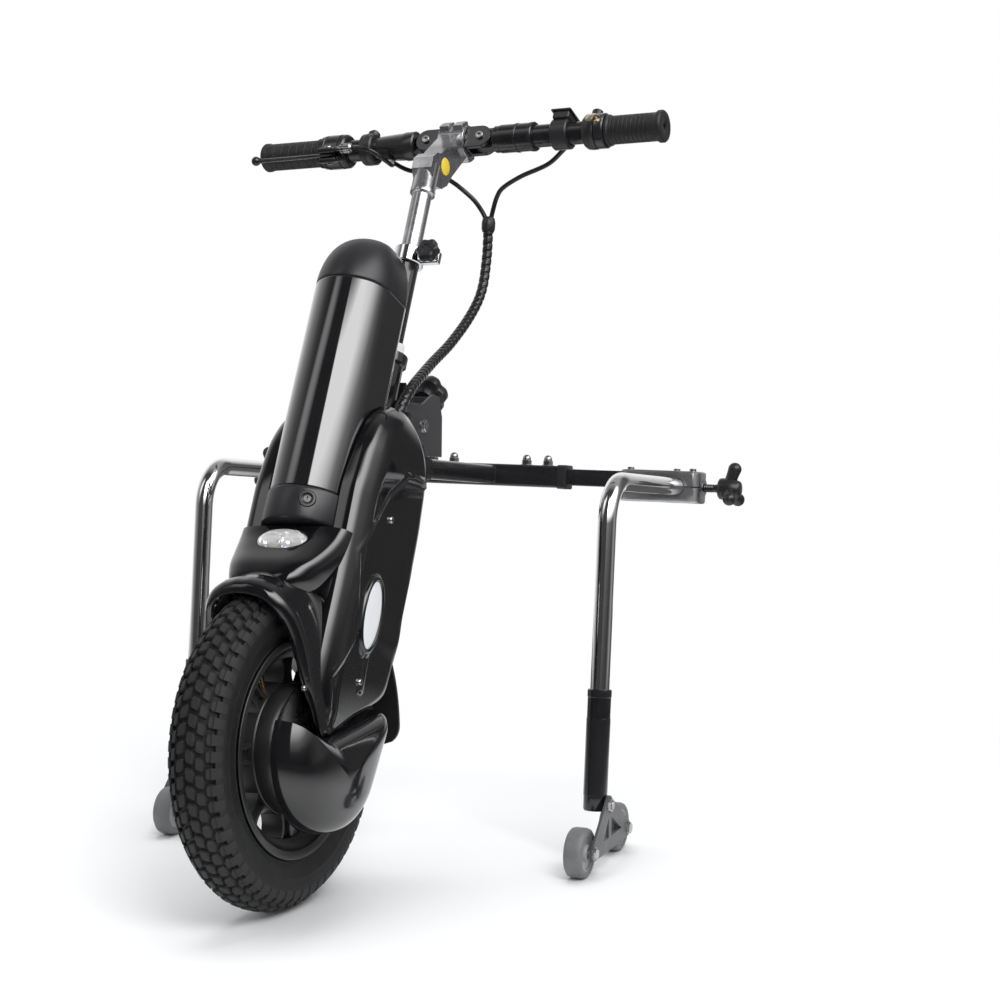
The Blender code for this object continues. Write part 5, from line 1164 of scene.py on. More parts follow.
def build_stem():
    profile = [(0, COLUMN_TOP - 0.150), (QUILL_R - 0.001, COLUMN_TOP - 0.150), (QUILL_R, COLUMN_TOP - 0.149),
               (QUILL_R, SLEEVE_LOW - 0.0005), (SLEEVE_R - 0.0016, SLEEVE_LOW),
               (SLEEVE_R, SLEEVE_LOW + 0.0014),
               (SLEEVE_R, SLEEVE_LOW + 0.0060), (SLEEVE_R - 0.0005, SLEEVE_LOW + 0.0070),
               (SLEEVE_R - 0.0005, SLEEVE_TOP - 0.006), (SLEEVE_R - 0.0030, SLEEVE_TOP - 0.0012),
               (SLEEVE_R - 0.0070, SLEEVE_TOP), (0, SLEEVE_TOP)]
    piece("stem_quill", lathe(profile, 56), "forged", FORK, "bars", ("stem",), "forged_aluminium",
          smooth=40)
    rise = BAR_UP - SLEEVE_TOP
    split = atan2(rise, BAR_BACK) + pi / 2
    centre = (BAR_BACK, BAR_UP)
    hold = (CLAMP_R + BAR_R) / 2
    web = [(-SLEEVE_R + 0.0004, SLEEVE_TOP - 0.016), (-0.004, SLEEVE_TOP - 0.027),
           (0.006, SLEEVE_TOP - 0.030), (0.018, SLEEVE_TOP - 0.026), (0.028, SLEEVE_TOP - 0.016),
           (0.034, SLEEVE_TOP - 0.001)]
    web += arc(centre, hold, split + radians(165), split + radians(15), 24)
    web += [(0.002, SLEEVE_TOP + 0.010), (-0.006, SLEEVE_TOP + 0.0065),
            (-SLEEVE_R + 0.0004, SLEEVE_TOP - 0.003)]
    piece("stem_neck", side_prism(web, -0.0122, 0.0122), "forged", FORK, "bars", (),
          "forged_aluminium", smooth=35, bevel=0.0034, segments=4)

    def half_clamp(start, end):
        shape = arc(centre, CLAMP_R, start, end, 28) + arc(centre, BAR_R + GAP, end, start, 28)
        return side_prism(shape, -CLAMP_HALF, CLAMP_HALF)

    def lugs(sign):
        """Blocks at both ends of the split that carry the clamp's screws."""
        out = []
        for end in (1, -1):
            u = Vector((cos(split), sin(split))) * end
            n = Vector((sin(split), -cos(split))) * sign
            c = Vector(centre) + u * (CLAMP_R + 0.0002)
            corners = [c - u * 0.0044 + n * 0.0004, c + u * 0.0044 + n * 0.0004, c + u * 0.0036 + n * 0.0078,
                       c - u * 0.0044 + n * 0.0092]
            for x in (-0.0085, 0.0085):
                out.append(side_prism([(p.x, p.y) for p in corners], x - 0.0060, x + 0.0060))
        return out

    piece("stem_clamp", joined(half_clamp(split, split + pi), *lugs(-1)), "forged", FORK, "bars", (),
          "forged_aluminium", smooth=35, bevel=0.0008)
    gap_turn = 0.0004 / CLAMP_R
    piece("stem_clamp_cap", joined(half_clamp(split - pi + gap_turn, split - gap_turn), *lugs(1)),
          "forged", FORK, "bars", ("stem_cap",), "forged_aluminium", smooth=35, bevel=0.0008)
    heads = []
    n = Vector((sin(split), -cos(split)))
    for end in (1, -1):
        u = Vector((cos(split), sin(split))) * end
        c = Vector(centre) + u * (CLAMP_R + 0.0004) + n * 0.0082
        for x in (-0.0085, 0.0085):
            facing = Vector((0, n.x, n.y)).to_track_quat("Z", "X").to_matrix().to_4x4()
            heads.append(turned(socket_screw(0.0030, 0.0030), offset(x, c.x, c.y) @ facing))
    piece("stem_screws", joined(*heads), "steel", FORK, "bars", smooth=30)
    # A plain round sticker on the neck's left face, with nothing on it
    disc = lathe([(0, -0.0004), (0.0096, -0.0004), (0.0098, 0.0001), (0.0094, 0.0004), (0.0066, 0.0004),
                  (0.0062, 0.0006), (0, 0.0006)], 48)
    piece("neck_sticker", disc, "yellow", FORK @ offset(0.0122, 0.016, SLEEVE_TOP + 0.0015)
          @ TO_X, "bars", smooth=40)


def build_collar():
    low, high = COLUMN_TOP - 0.015, COLUMN_TOP + 0.004
    inner = COLUMN_R + GAP
    ring = lathe([(inner, low), (0.0160, low), (0.0170, low + 0.0010), (0.0170, high - 0.0012),
                  (0.0160, high), (0.0118, high), (0.0115, high - 0.0004), (0.0115, COLUMN_TOP + 0.0003),
                  (inner, COLUMN_TOP + 0.0003)], 56, closed=True)
    ears = [box((0.0140, sign * 0.0041 - 0.0029, low + 0.003), (0.0360, sign * 0.0041 + 0.0029, high - 0.003))
            for sign in (1, -1)]
    piece("collar_ring", joined(ring, *ears), "chrome", FORK, "front_fork", ("stem_collar",), "chrome",
          smooth=35, bevel=0.0007)
    # Six-lobed knob on the collar's screw
    def lobed(radius, z):
        return ring_at(lambda a: radius - 0.0010 * (1 - cos(6 * a)), z, 60)

    rows = [lobed(0.0098, 0.0076), lobed(0.0120, 0.0092), lobed(0.0132, 0.0110), lobed(0.0132, 0.0170),
            lobed(0.0120, 0.0190), lobed(0.0100, 0.0198), lobed(0.0060, 0.0200), lobed(0.0050, 0.0188)]
    stud = rod(0.0024, -0.011, 0.009, 24)
    place = FORK @ offset(0.0170 + 0.0135, 0, (low + high) / 2) @ TO_FRONT
    piece("stem_knob_head", joined(skin_loops(rows), stud), "dark_plastic", place, "stem_knob",
          ("stem_knob",), "dark_plastic", smooth=45)


def build_bar_centre():
    knuckles, bolts = [], []
    tube = spun([(-0.019, 0.0020), (0.019, 0.0020), (0.019, BAR_R), (-0.019, BAR_R)])
    for side in (1, -1):
        start = CLAMP_HALF + 0.0004
        shape = [(x * side, z) for x, z in arc((PIVOT_X, 0), KNUCKLE_R, -pi / 2, pi / 2, 24)
                 + [(start, KNUCKLE_R), (start, -KNUCKLE_R)]]
        near, far = sorted((side * 0.0195, side * 0.07))
        mouth = box((near, -TONGUE_HALF - 0.0005, -0.03), (far, TONGUE_HALF + 0.0005, 0.03))
        knuckles.append(carved(front_prism(shape, -KNUCKLE_HALF, KNUCKLE_HALF), mouth))
        for face in (1, -1):
            place = offset(side * PIVOT_X, face * KNUCKLE_HALF, 0) @ (TO_BACK if face > 0 else TO_FRONT)
            bolts.append(turned(socket_screw(0.0046, 0.0028), place))
        bolts.append(turned(rod(0.0040, -KNUCKLE_HALF, KNUCKLE_HALF, 24),
                            offset(side * PIVOT_X, 0, 0) @ TO_BACK))
    piece("bar_knuckles", joined(tube, *knuckles), "black_paint", BAR, "bars", ("bar_centre",),
          "black_paint", smooth=35, bevel=0.0010)
    piece("bar_bolts", joined(*bolts), "steel", BAR, "bars", smooth=30)


def build_bar_half(side, word, grip_length):
    shoulder = PIVOT_X + KNUCKLE_REACH + GAP
    nose = KNUCKLE_R - 0.0005
    tongue = [(x * side, z) for x, z in arc((PIVOT_X, 0), nose, pi / 2, 3 * pi / 2, 24)
              + [(shoulder + 0.002, -nose), (shoulder + 0.002, nose)]]
    bolt_hole = turned(rod(0.0045, -0.03, 0.03, 32), offset(side * PIVOT_X, 0, 0) @ TO_BACK)
    tongue = carved(front_prism(tongue, -TONGUE_HALF, TONGUE_HALF), bolt_hole)
    piece(f"bar_tongue_{word}", tongue, "black_paint", BAR, f"bar_{word}",
          (f"bar_{word}",), "black_paint", smooth=35, bevel=0.0006)
    if side > 0:
        outer = [(shoulder, 0.0140), (shoulder + 0.0012, 0.0152), (shoulder + 0.0070, 0.0152),
                 (shoulder + 0.0080, 0.0160), (shoulder + 0.0260, 0.0160), (shoulder + 0.0265, 0.0166),
                 (shoulder + 0.0290, 0.0166), (shoulder + 0.0295, 0.0160), (SLEEVE_END - 0.0050, 0.0160),
                 (SLEEVE_END - 0.0044, 0.0166), (SLEEVE_END - 0.0010, 0.0166), (SLEEVE_END, 0.0158)]
    else:
        outer = [(shoulder, 0.0150), (shoulder + 0.0014, 0.0166), (shoulder + 0.0130, 0.0166),
                 (shoulder + 0.0150, 0.0158), (SLEEVE_END - 0.0020, 0.0138), (SLEEVE_END, 0.0130)]
    tube_end = BAR_HALF - 0.004
    profile = outer + [(SLEEVE_END, BAR_R), (tube_end - 0.001, BAR_R), (tube_end, BAR_R - 0.001),
                       (tube_end, 0.0100), (shoulder, 0.0100)]
    piece(f"bar_tube_{word}", spun(profile, side), "black_paint", BAR, f"bar_{word}", (),
          "black_paint", smooth=30)

    inner = BAR_HALF - grip_length
    hold = BAR_R + GAP
    grip = [(inner, hold), (inner, 0.0160), (inner + 0.0010, 0.0173), (inner + 0.0034, 0.0173),
            (inner + 0.0050, 0.0158)]
    # Shallow rings along the grip, square-edged and close together
    x = inner + 0.0075
    while x < BAR_HALF - 0.016:
        grip += [(x, 0.0158), (x + 0.0004, 0.0153), (x + 0.0012, 0.0153), (x + 0.0016, 0.0158)]
        x += 0.0050 if side > 0 else 0.0105
    end_r = 0.0178 if side > 0 else 0.0168
    grip += [(BAR_HALF - 0.0090, 0.0158), (BAR_HALF - 0.0072, end_r - 0.0008), (BAR_HALF - 0.0060, end_r),
             (BAR_HALF - 0.0020, end_r), (BAR_HALF - 0.0005, end_r - 0.0012), (BAR_HALF, end_r - 0.0035),
             (BAR_HALF, 0.0062), (BAR_HALF - 0.0010, 0.0045), (BAR_HALF - 0.0010, 0.0030),
             (tube_end + 0.0003, 0.0030), (tube_end + 0.0003, hold)]
    piece(f"grip_rubber_{word}", spun(grip, side), "rubber", BAR, f"bar_{word}", (f"grip_{word}",),
          "rubber", smooth=35)


LEVER_DOWN = Matrix.Rotation(radians(37), 4, "X")


def build_brake():
    outer = -(BAR_HALF - BRAKE_GRIP) + 0.0008
    inner = outer + PERCH_LENGTH
    hold = BAR_R + GAP
    low = -inner
    body = along(low, [(0, hold), (0, 0.0175), (0.0020, 0.0195), (0.0060, 0.0200), (0.0065, 0.0190),
                       (0.0080, 0.0190), (0.0085, 0.0200), (0.0240, 0.0200), (0.0245, 0.0190),
                       (0.0262, 0.0190), (0.0268, 0.0198), (0.0320, 0.0192), (0.0338, 0.0172),
                       (0.0338, hold)])
    ears = [box((inner - 0.024, -0.037, a), (inner - 0.002, -0.015, b))
            for a, b in ((-0.0090, -0.0026), (0.0026, 0.0090))]
    piece("perch_body", spun(body, -1), "black_paint", BAR, "bar_right", ("brake_perch",),
          "black_paint", smooth=35)
    piece("perch_ears", joined(*ears), "black_paint", BAR @ LEVER_DOWN, "bar_right", (), "black_paint",
          smooth=35, bevel=0.0022, segments=3)
    # Knurled cable adjuster and its lock ring
    rows = []
    for x, r in ((inner - 0.004, 0.0036), (inner + 0.001, 0.0036), (inner + 0.0012, 0.0054),
                 (inner + 0.0044, 0.0054), (inner + 0.0046, 0.0040), (inner + 0.0060, 0.0040),
                 (inner + 0.0062, 0.0056), (inner + 0.0140, 0.0056), (inner + 0.0146, 0.0046),
                 (inner + 0.0160, 0.0034)):
        knurl = 0.0003 if r > 0.005 else 0.0
        rows.append([(x, -0.024 + (r + knurl * (i % 2)) * cos(a), 0.0055 + (r + knurl * (i % 2)) * sin(a))
                     for i, a in enumerate(turns(36))])
    piece("cable_adjuster", skin_loops(rows), "steel", BAR @ LEVER_DOWN, "bar_right", smooth=25)
    pin = offset(inner - 0.012, -0.030, 0)
    pins = [turned(button_screw(0.0042, 0.0022), pin @ offset(0, 0, 0.0088)),
            turned(bolt_head(0.0036, 0.0024), pin @ offset(0, 0, -0.0088) @ Matrix.Rotation(pi, 4, "X")),
            turned(socket_screw(0.0026, 0.0024), offset(inner - 0.012, 0.0195, 0) @ TO_BACK)]
    piece("perch_screws", joined(*pins), "steel", BAR @ LEVER_DOWN, "bar_right", smooth=30)

    # Lever: a blade that thins and widens towards a ball end
    px, py = inner - 0.012, -0.030
    path = [(px + 0.0050, py + 0.0010, 0.0050, 0.0022), (px, py, 0.0066, 0.0023),
            (px - 0.006, -0.0305, 0.0062, 0.0023), (px - 0.014, -0.0312, 0.0056, 0.0023),
            (-0.185, -0.0372, 0.0054, 0.0023), (-0.205, -0.0382, 0.0048, 0.0023),
            (-0.222, -0.0388, 0.0042, 0.0023), (-(BAR_HALF - 0.012), -0.0390, 0.0030, 0.0022)]
    path = smoothed(finer(path, 6), 6)
    loops = [[(x, y + w * cos(a), t * 1.05 * sin(a)) for a in turns(20)]
             for x, y, w, t in path]
    end = -(BAR_HALF - 0.009)
    ball = [(0, -0.0055)] + [(0.0055 * cos(a), 0.0055 * sin(a))
                             for a in (radians(-80 + 10 * k) for k in range(17))]
    ball = turned(lathe(ball + [(0, 0.0055)], 28), offset(end, -0.039, 0))
    widths = ((0.008, 0.0026), (0.005, 0.0034), (0.0042, 0.0040), (0.003, 0.0030))
    neck = [[(end + x, -0.039 + r * cos(a), r * sin(a)) for a in turns(20)] for x, r in widths]
    piece("lever_blade", joined(skin_loops(loops), ball, skin_loops(neck)), "black_paint",
          BAR @ LEVER_DOWN, "brake_lever", ("brake_lever",), "black_paint", smooth=50)


def build_switch_case():
    hold = BAR_R + GAP
    right = -(BAR_HALF - BRAKE_GRIP) + PERCH_LENGTH + 0.020
    low = -(right + 0.016)
    body = along(low, [(0, hold), (0, 0.0165), (0.0016, 0.0182), (0.0070, 0.0185), (0.0073, 0.0180),
                       (0.0081, 0.0180), (0.0084, 0.0185), (0.0144, 0.0182), (0.0160, 0.0165),
                       (0.0160, hold)])
    at = offset(right + 0.008, 0, 0)
    collar = turned(lathe([(0.0048, 0.0140), (0.0070, 0.0140), (0.0070, 0.0212), (0.0062, 0.0222),
                           (0.0048, 0.0225)], 32, closed=True), at)
    piece("switch_case", joined(spun(body, -1), collar), "black_plastic", BAR, "bar_right",
          ("switch_housing",), "black_plastic", smooth=30)
    button = lathe([(0, 0.0182), (0.0044, 0.0182), (0.0044, 0.0238), (0.0038, 0.0245), (0.0020, 0.0240),
                    (0, 0.0239)], 32)
    piece("horn_cap", button, "black_paint", BAR @ at, "horn_button", ("horn_button",), "button", smooth=35)


def build_display():
    """A small box on its band."""
    hold = BAR_R + GAP
    high = BAR_HALF - THROTTLE_GRIP - THROTTLE_LENGTH - 0.011
    low = high - 0.034
    band = [(low + 0.006, hold), (low + 0.006, 0.0162), (low + 0.0072, 0.0174), (high - 0.0092, 0.0174),
            (high - 0.008, 0.0162), (high - 0.008, hold)]
    piece("display_band", spun(band), "black_plastic", BAR, "bar_left", ("display",), "black_plastic",
          smooth=30)
    case = box((low + 0.007, -0.016, 0.0115), (high - 0.007, 0.010, 0.0210))
    piece("display_case", case, "black_plastic", BAR, "bar_left", (), "black_plastic", smooth=30,
          bevel=0.0022, segments=3)
    lid = box((low + 0.005, -0.0180, 0.0205), (high - 0.005, 0.0115, 0.0228))
    piece("display_rim", lid, "black_paint", BAR, "bar_left", smooth=30, bevel=0.0009, segments=2)
    glass = box((low + 0.0085, -0.0145, 0.0224), (high - 0.0085, 0.0080, 0.0232))
    piece("display_window", glass, "gloss_black", BAR, "bar_left", smooth=30, bevel=0.0003)


def build_throttle():
    """The thumb throttle's housing and knob, with the metal paddle beside them."""
    hold = BAR_R + GAP
    start = BAR_HALF - THROTTLE_GRIP - THROTTLE_LENGTH
    end = BAR_HALF - THROTTLE_GRIP - GAP
    body = along(start, [(0, hold), (0, 0.0170), (0.0030, 0.0194), (0.0080, 0.0200), (0.0124, 0.0198),
                         (0.0140, 0.0186), (0.0140, hold)])
    knob = turned(lathe([(0, 0.0150), (0.0062, 0.0150), (0.0065, 0.0250), (0.0060, 0.0285), (0.0042, 0.0299),
                         (0, 0.0302)], 32), offset(start + 0.007, 0.004, 0))
    piece("throttle_case", joined(spun(body), knob), "black_plastic", BAR, "bar_left",
          ("throttle_housing",), "black_plastic", smooth=35)
    paddle_low = start + 0.0143
    ring = spun([(paddle_low, hold + 0.0002), (paddle_low, 0.0180), (paddle_low + 0.0012, 0.0195),
                 (end - 0.0014, 0.0195), (end, 0.0180), (end, hold + 0.0002)])
    curve = [(-0.0150, -0.0040, 0.0030), (-0.0195, 0.0022, 0.0028), (-0.0250, 0.0032, 0.0024),
             (-0.0320, 0.0004, 0.0022), (-0.0375, -0.0048, 0.0020), (-0.0405, -0.0105, 0.0016)]
    mid, wide = (paddle_low + end) / 2, (end - paddle_low) / 2
    rows = smoothed(finer(curve, 5), 4)
    loops = []
    for i, (y, z, t) in enumerate(rows):
        share = i / (len(rows) - 1)
        w = wide * (0.92 - 0.18 * share)
        y0, z0, _ = rows[max(i - 1, 0)]
        y1, z1, _ = rows[min(i + 1, len(rows) - 1)]
        n = Vector((-(z1 - z0), y1 - y0)).normalized()
        loops.append([(mid + w * cos(a), y + n.x * t * sin(a), z + n.y * t * sin(a))
                      for a in turns(20)])
    piece("throttle_ring", ring, "black_paint", BAR, "throttle_paddle", ("throttle_paddle",), "chrome",
          smooth=35)
    piece("throttle_lever", skin_loops(loops), "brass_lit", BAR, "throttle_paddle", smooth=45)


# Cables

def curve_through(points, steps=8):
    knots = [Vector(p) for p in points]
    knots = [2 * knots[0] - knots[1]] + knots + [2 * knots[-1] - knots[-2]]
    out = []
    for a, b, c, d in zip(knots, knots[1:], knots[2:], knots[3:]):
        for i in range(steps):
            t = i / steps
            out.append(0.5 * (2 * b + (c - a) * t + (2 * a - 5 * b + 4 * c - d) * t ** 2
                              + (3 * b - a - 3 * c + d) * t ** 3))
    return out + [knots[-2]]


def even_path(points, spacing):
    """The same path with its points a fixed distance apart."""
    out, left = [points[0]], spacing
    for a, b in zip(points, points[1:]):
        length = (b - a).length
        at = 0.0
        while length - at >= left:
            at += left
            out.append(a.lerp(b, at / length))
            left = spacing
        left -= length - at
    return out + [points[-1]]


def wrapped_tube(points, radius, pitch=0.0090, ridge=0.0006, sides=22):
    """A bundle inside a spiral wrap: the wrap's band stands out round the core."""
    path = even_path(points, 0.0010)
    loops, travelled = [], 0.0
    for i, (point, normal, across) in enumerate(frames(path)):
        if i:
            travelled += (point - path[i - 1]).length
        loop = []
        for k, a in enumerate(turns(sides)):
            phase = (travelled / pitch - k / sides) % 1.0
            r = radius - ridge + ridge * ease(phase / 0.08) * ease((0.78 - phase) / 0.08)
            loop.append(point + (normal * cos(a) + across * sin(a)) * r)
        loops.append(loop)
    return skin_loops(loops)


def by_bar(x, back, up):
    """A place in the fork's axes, measured from the bar's centre."""
    return x, BAR_BACK + back, BAR_UP + up


# Each lead's CAD node, the side of its bar half and its route up from the bundle
LEADS = (
    ("brake_cable", "right",
     (by_bar(0.0165, 0.0755, -0.0640), by_bar(0.010, 0.0680, -0.0506), by_bar(-0.002, 0.054, -0.0376),
      by_bar(-0.030, 0.036, -0.0216), by_bar(-0.070, 0.024, -0.0166),
      by_bar(0.004 - SLEEVE_END, 0.0225, -0.0041))),
    ("throttle_cable", "left",
     (by_bar(0.0195, 0.0755, -0.0640), by_bar(0.023, 0.0700, -0.0500), by_bar(0.030, 0.061, -0.0370),
      by_bar(0.040, 0.054, -0.0295), by_bar(0.066, 0.044, -0.0225),
      by_bar(SLEEVE_END + 0.004, 0.033, -0.0160),
      by_bar(SLEEVE_END + 0.027, 0.0225, -0.0036))),
)
LEAD_R, LEAD_SIDES = 0.0027, 14
LEAD_STEPS = 10
LEAD_MIDDLE = 3 * LEAD_STEPS


def build_cables():
    cups = CROWN + 0.274
    route = [(0.0388, -0.0209, SHELL_TOP - 0.0245), (0.0402, -0.0204, SHELL_TOP + 0.0101),
             (0.0399, -0.0071, SHELL_TOP + 0.0424), (0.0270, 0.0450, cups + 0.0210),
             (0.0212, 0.0878, cups + 0.0679), by_bar(0.018, 0.074, -0.1836), by_bar(0.018, 0.089, -0.1436),
             by_bar(0.018, 0.086, -0.1026), by_bar(0.018, 0.074, -0.0616)]
    piece("wrapped_bundle", wrapped_tube(curve_through(route, 12), 0.0058), "cable", FORK, "front_fork",
          ("cable_bundle",), "cable", smooth=50)
    top = Vector(route[-1])
    # Each lead is drawn in two pieces that meet at its middle
    for name, side, points in LEADS:
        lead = curve_through(points, LEAD_STEPS)
        low = piece(f"{name}_riser", tube_along(lead[:LEAD_MIDDLE + 1], LEAD_R, LEAD_SIDES), "cable", FORK,
                    None, (name,), "cable", smooth=60)
        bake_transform(low)
        high = piece(f"{name}_run", tube_along(lead[LEAD_MIDDLE:], LEAD_R, LEAD_SIDES), "cable", FORK, None,
                     (), "cable", smooth=60)
        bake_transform(high)
    # The brake cable leaves the adjuster in a loop under the bar
    outlet = LEVER_DOWN @ Vector((-(BAR_HALF - BRAKE_GRIP) + 0.0508, -0.024, 0.0055))
    loop = [outlet + Vector((-0.010, 0, 0)), outlet, (-0.110, -0.0262, -0.0135), (-0.096, -0.0225, -0.0165),
            (-0.0865, -0.006, -0.0195), (-0.087, 0.012, -0.0155), (0.004 - SLEEVE_END, 0.0225, -0.0041)]
    piece("brake_cable_loop", tube_along(curve_through(loop, 8), 0.0026, LEAD_SIDES), "cable", BAR,
          "bar_right",
          smooth=60)
    # A short boot where the leads leave the wrap
    ahead = (Vector(route[-1]) - Vector(route[-2])).normalized()
    boot = turned(lathe([(0, -0.012), (0.0068, -0.012), (0.0078, -0.009), (0.0080, -0.002), (0.0072, 0.003),
                         (0.0058, 0.005), (0, 0.0052)], 32),
                         ahead.to_track_quat("Z", "X").to_matrix().to_4x4())
    piece("bundle_boot", turned(boot, Matrix.Translation(top)), "black_plastic", FORK, "front_fork",
          smooth=45)


# Rear frame, drawn in its own axes

CROSS_R = 0.013
CROSS_HALF = 0.100
SLIDE_R = 0.0097
ARM_END = -0.238
ARM_R = (0.012, 0.011)
SADDLE = (-0.212, -0.246)
PIVOT = (-0.266, 0.045)
SLOT_R = 0.0527
PLATE = (0.0200, 0.0240)
SEAT = 0.0133
BLOCK = (0.170, 0.266)
CHANNEL = (0.186, 0.222)
BLOCK_DROP = 0.0065
LEG_SIDE, LEG_FORWARD = 0.239, 0.268
LEG_R = 0.010
LEG_BEND = 0.045
SLEEVE = (-0.2252, -0.3522)
CASTERS = (("front", -0.049, -0.040), ("rear", 0.064, -0.040))
BLOCK_LOW, BLOCK_HIGH = -BLOCK_DROP - 0.0185, -BLOCK_DROP + 0.0185
CLAMP_AXIS = offset(0, 0.007, -BLOCK_DROP)
BOGIE_UP = 0.007


def rounded(half_a, half_b, corner, steps=5):
    out = []
    for quarter, (sa, sb) in enumerate(((1, 1), (-1, 1), (-1, -1), (1, -1))):
        for i in range(steps + 1):
            a = pi / 2 * (quarter + i / steps)
            out.append((sa * (half_a - corner) + corner * cos(a), sb * (half_b - corner) + corner * sin(a)))
    return out


def square_tube(low, high, half, wall, corner):
    """A square tube along X with softened ends."""
    loops = [(low + 0.0006, half - 0.0006), (low + 0.0012, half), (high - 0.0012, half),
             (high - 0.0006, half - 0.0006), (high, half - wall), (low, half - wall)]
    return skin_loops([[(x, y, z) for y, z in rounded(r, r, corner)] for x, r in loops], ring=True)


def rod_to(start, end, rows, steps=24):
    """A turned part from start to end; rows give (share of the length, radius)."""
    line = Vector(end) - Vector(start)
    profile = [(0, 0)] + [(r, share * line.length) for share, r in rows] + [(0, line.length)]
    facing = line.to_track_quat("Z", "X").to_matrix().to_4x4()
    return turned(lathe(profile, steps), Matrix.Translation(start) @ facing)


def build_cross():
    tube = square_tube(-CROSS_HALF, CROSS_HALF, CROSS_R, CROSS_R - SLIDE_R - GAP, 0.003)
    path = [(-0.0112 + (ARM_END + 0.0112) * i / 6, 0.0, 0.0) for i in range(7)]
    path += [(ARM_END - 0.055 * sin(a), -0.055 * (1 - cos(a)), a)
             for a in (radians(4 * i) for i in range(1, 15))]
    loops = []
    for share, (y, z, a) in [(1.0, p) for p in path] + [(0.8, (path[-1][0] - 0.0008, path[-1][1] - 0.0008,
                                                             path[-1][2]))]:
        loops.append([(x * share, y + h * share * -sin(a), z + h * share * cos(a))
                      for x, h in rounded(*ARM_R, 0.004)])
    saddle = [[(x, y, z) for x, z in rounded(ARM_R[0] + g, ARM_R[1] + g, 0.004)]
              for y, g in ((SADDLE[0], 0.0006), (SADDLE[0] - 0.0012, 0.002), (SADDLE[1] + 0.0012, 0.002),
                           (SADDLE[1], 0.0006))]
    piece("cross_tube", joined(tube, skin_loops(loops), skin_loops(saddle)), "black_paint", REAR,
          "rear_frame", ("cross_frame",), "black_paint", smooth=38)
    # Rippled weld beads round the arm's root and the saddle's edges
    beads = []
    for y, grow in ((-CROSS_R - 0.0002, 0.0), (SADDLE[0] + 0.0004, 0.0006), (SADDLE[1] - 0.0004, 0.0006)):
        ring = rounded(ARM_R[0] + grow, ARM_R[1] + grow, 0.004, 4)
        path = [Vector((x, y, z)) for x, z in ring]
        dense = [a.lerp(b, k / 6) for a, b in zip(path, path[1:] + path[:1]) for k in range(6)]
        loops = []
        for i, p in enumerate(dense):
            r = 0.0014 + 0.0003 * (i % 3 == 0)
            outward = Vector((p.x, 0, p.z)).normalized()
            loops.append([p + outward * r * cos(t) + Vector((0, r * sin(t), 0)) for t in turns(8)])
        beads.append(skin_loops(loops, ring=True))
    piece("frame_welds", joined(*beads), "black_paint", REAR, "rear_frame", smooth=60)
    nuts, collars = [], []
    for side in (1, -1):
        for x in (0.047, 0.074):
            place = offset(side * x, 0, CROSS_R)
            nuts.append(turned(rod(0.0072, -0.0004, 0.0006, 32), place))
            nuts.append(turned(lathe([(0, 0.0006), (0.0060, 0.0006), (0.0064, 0.0012), (0.0064, 0.0052),
                                      (0.0058, 0.0060), (0, 0.0060)], 6), place))
            dome = [(0.0050 * cos(a), 0.0074 + 0.0050 * sin(a)) for a in (radians(9 * k) for k in range(10))]
            nuts.append(turned(lathe([(0, 0.0058), (0.0050, 0.0058)] + dome + [(0, 0.0124)], 28), place))
        low, high = sorted((side * (CROSS_HALF - 0.010), side * (CROSS_HALF + 0.002)))
        collar_r = CROSS_R + 0.0012
        collars.append(square_tube(low, high, collar_r, collar_r - SLIDE_R - GAP, 0.0035))
    piece("cross_nuts", joined(*nuts), "steel", REAR, "rear_frame", smooth=30)
    piece("cross_collars", joined(*collars), "black_plastic", REAR, "rear_frame", smooth=30)


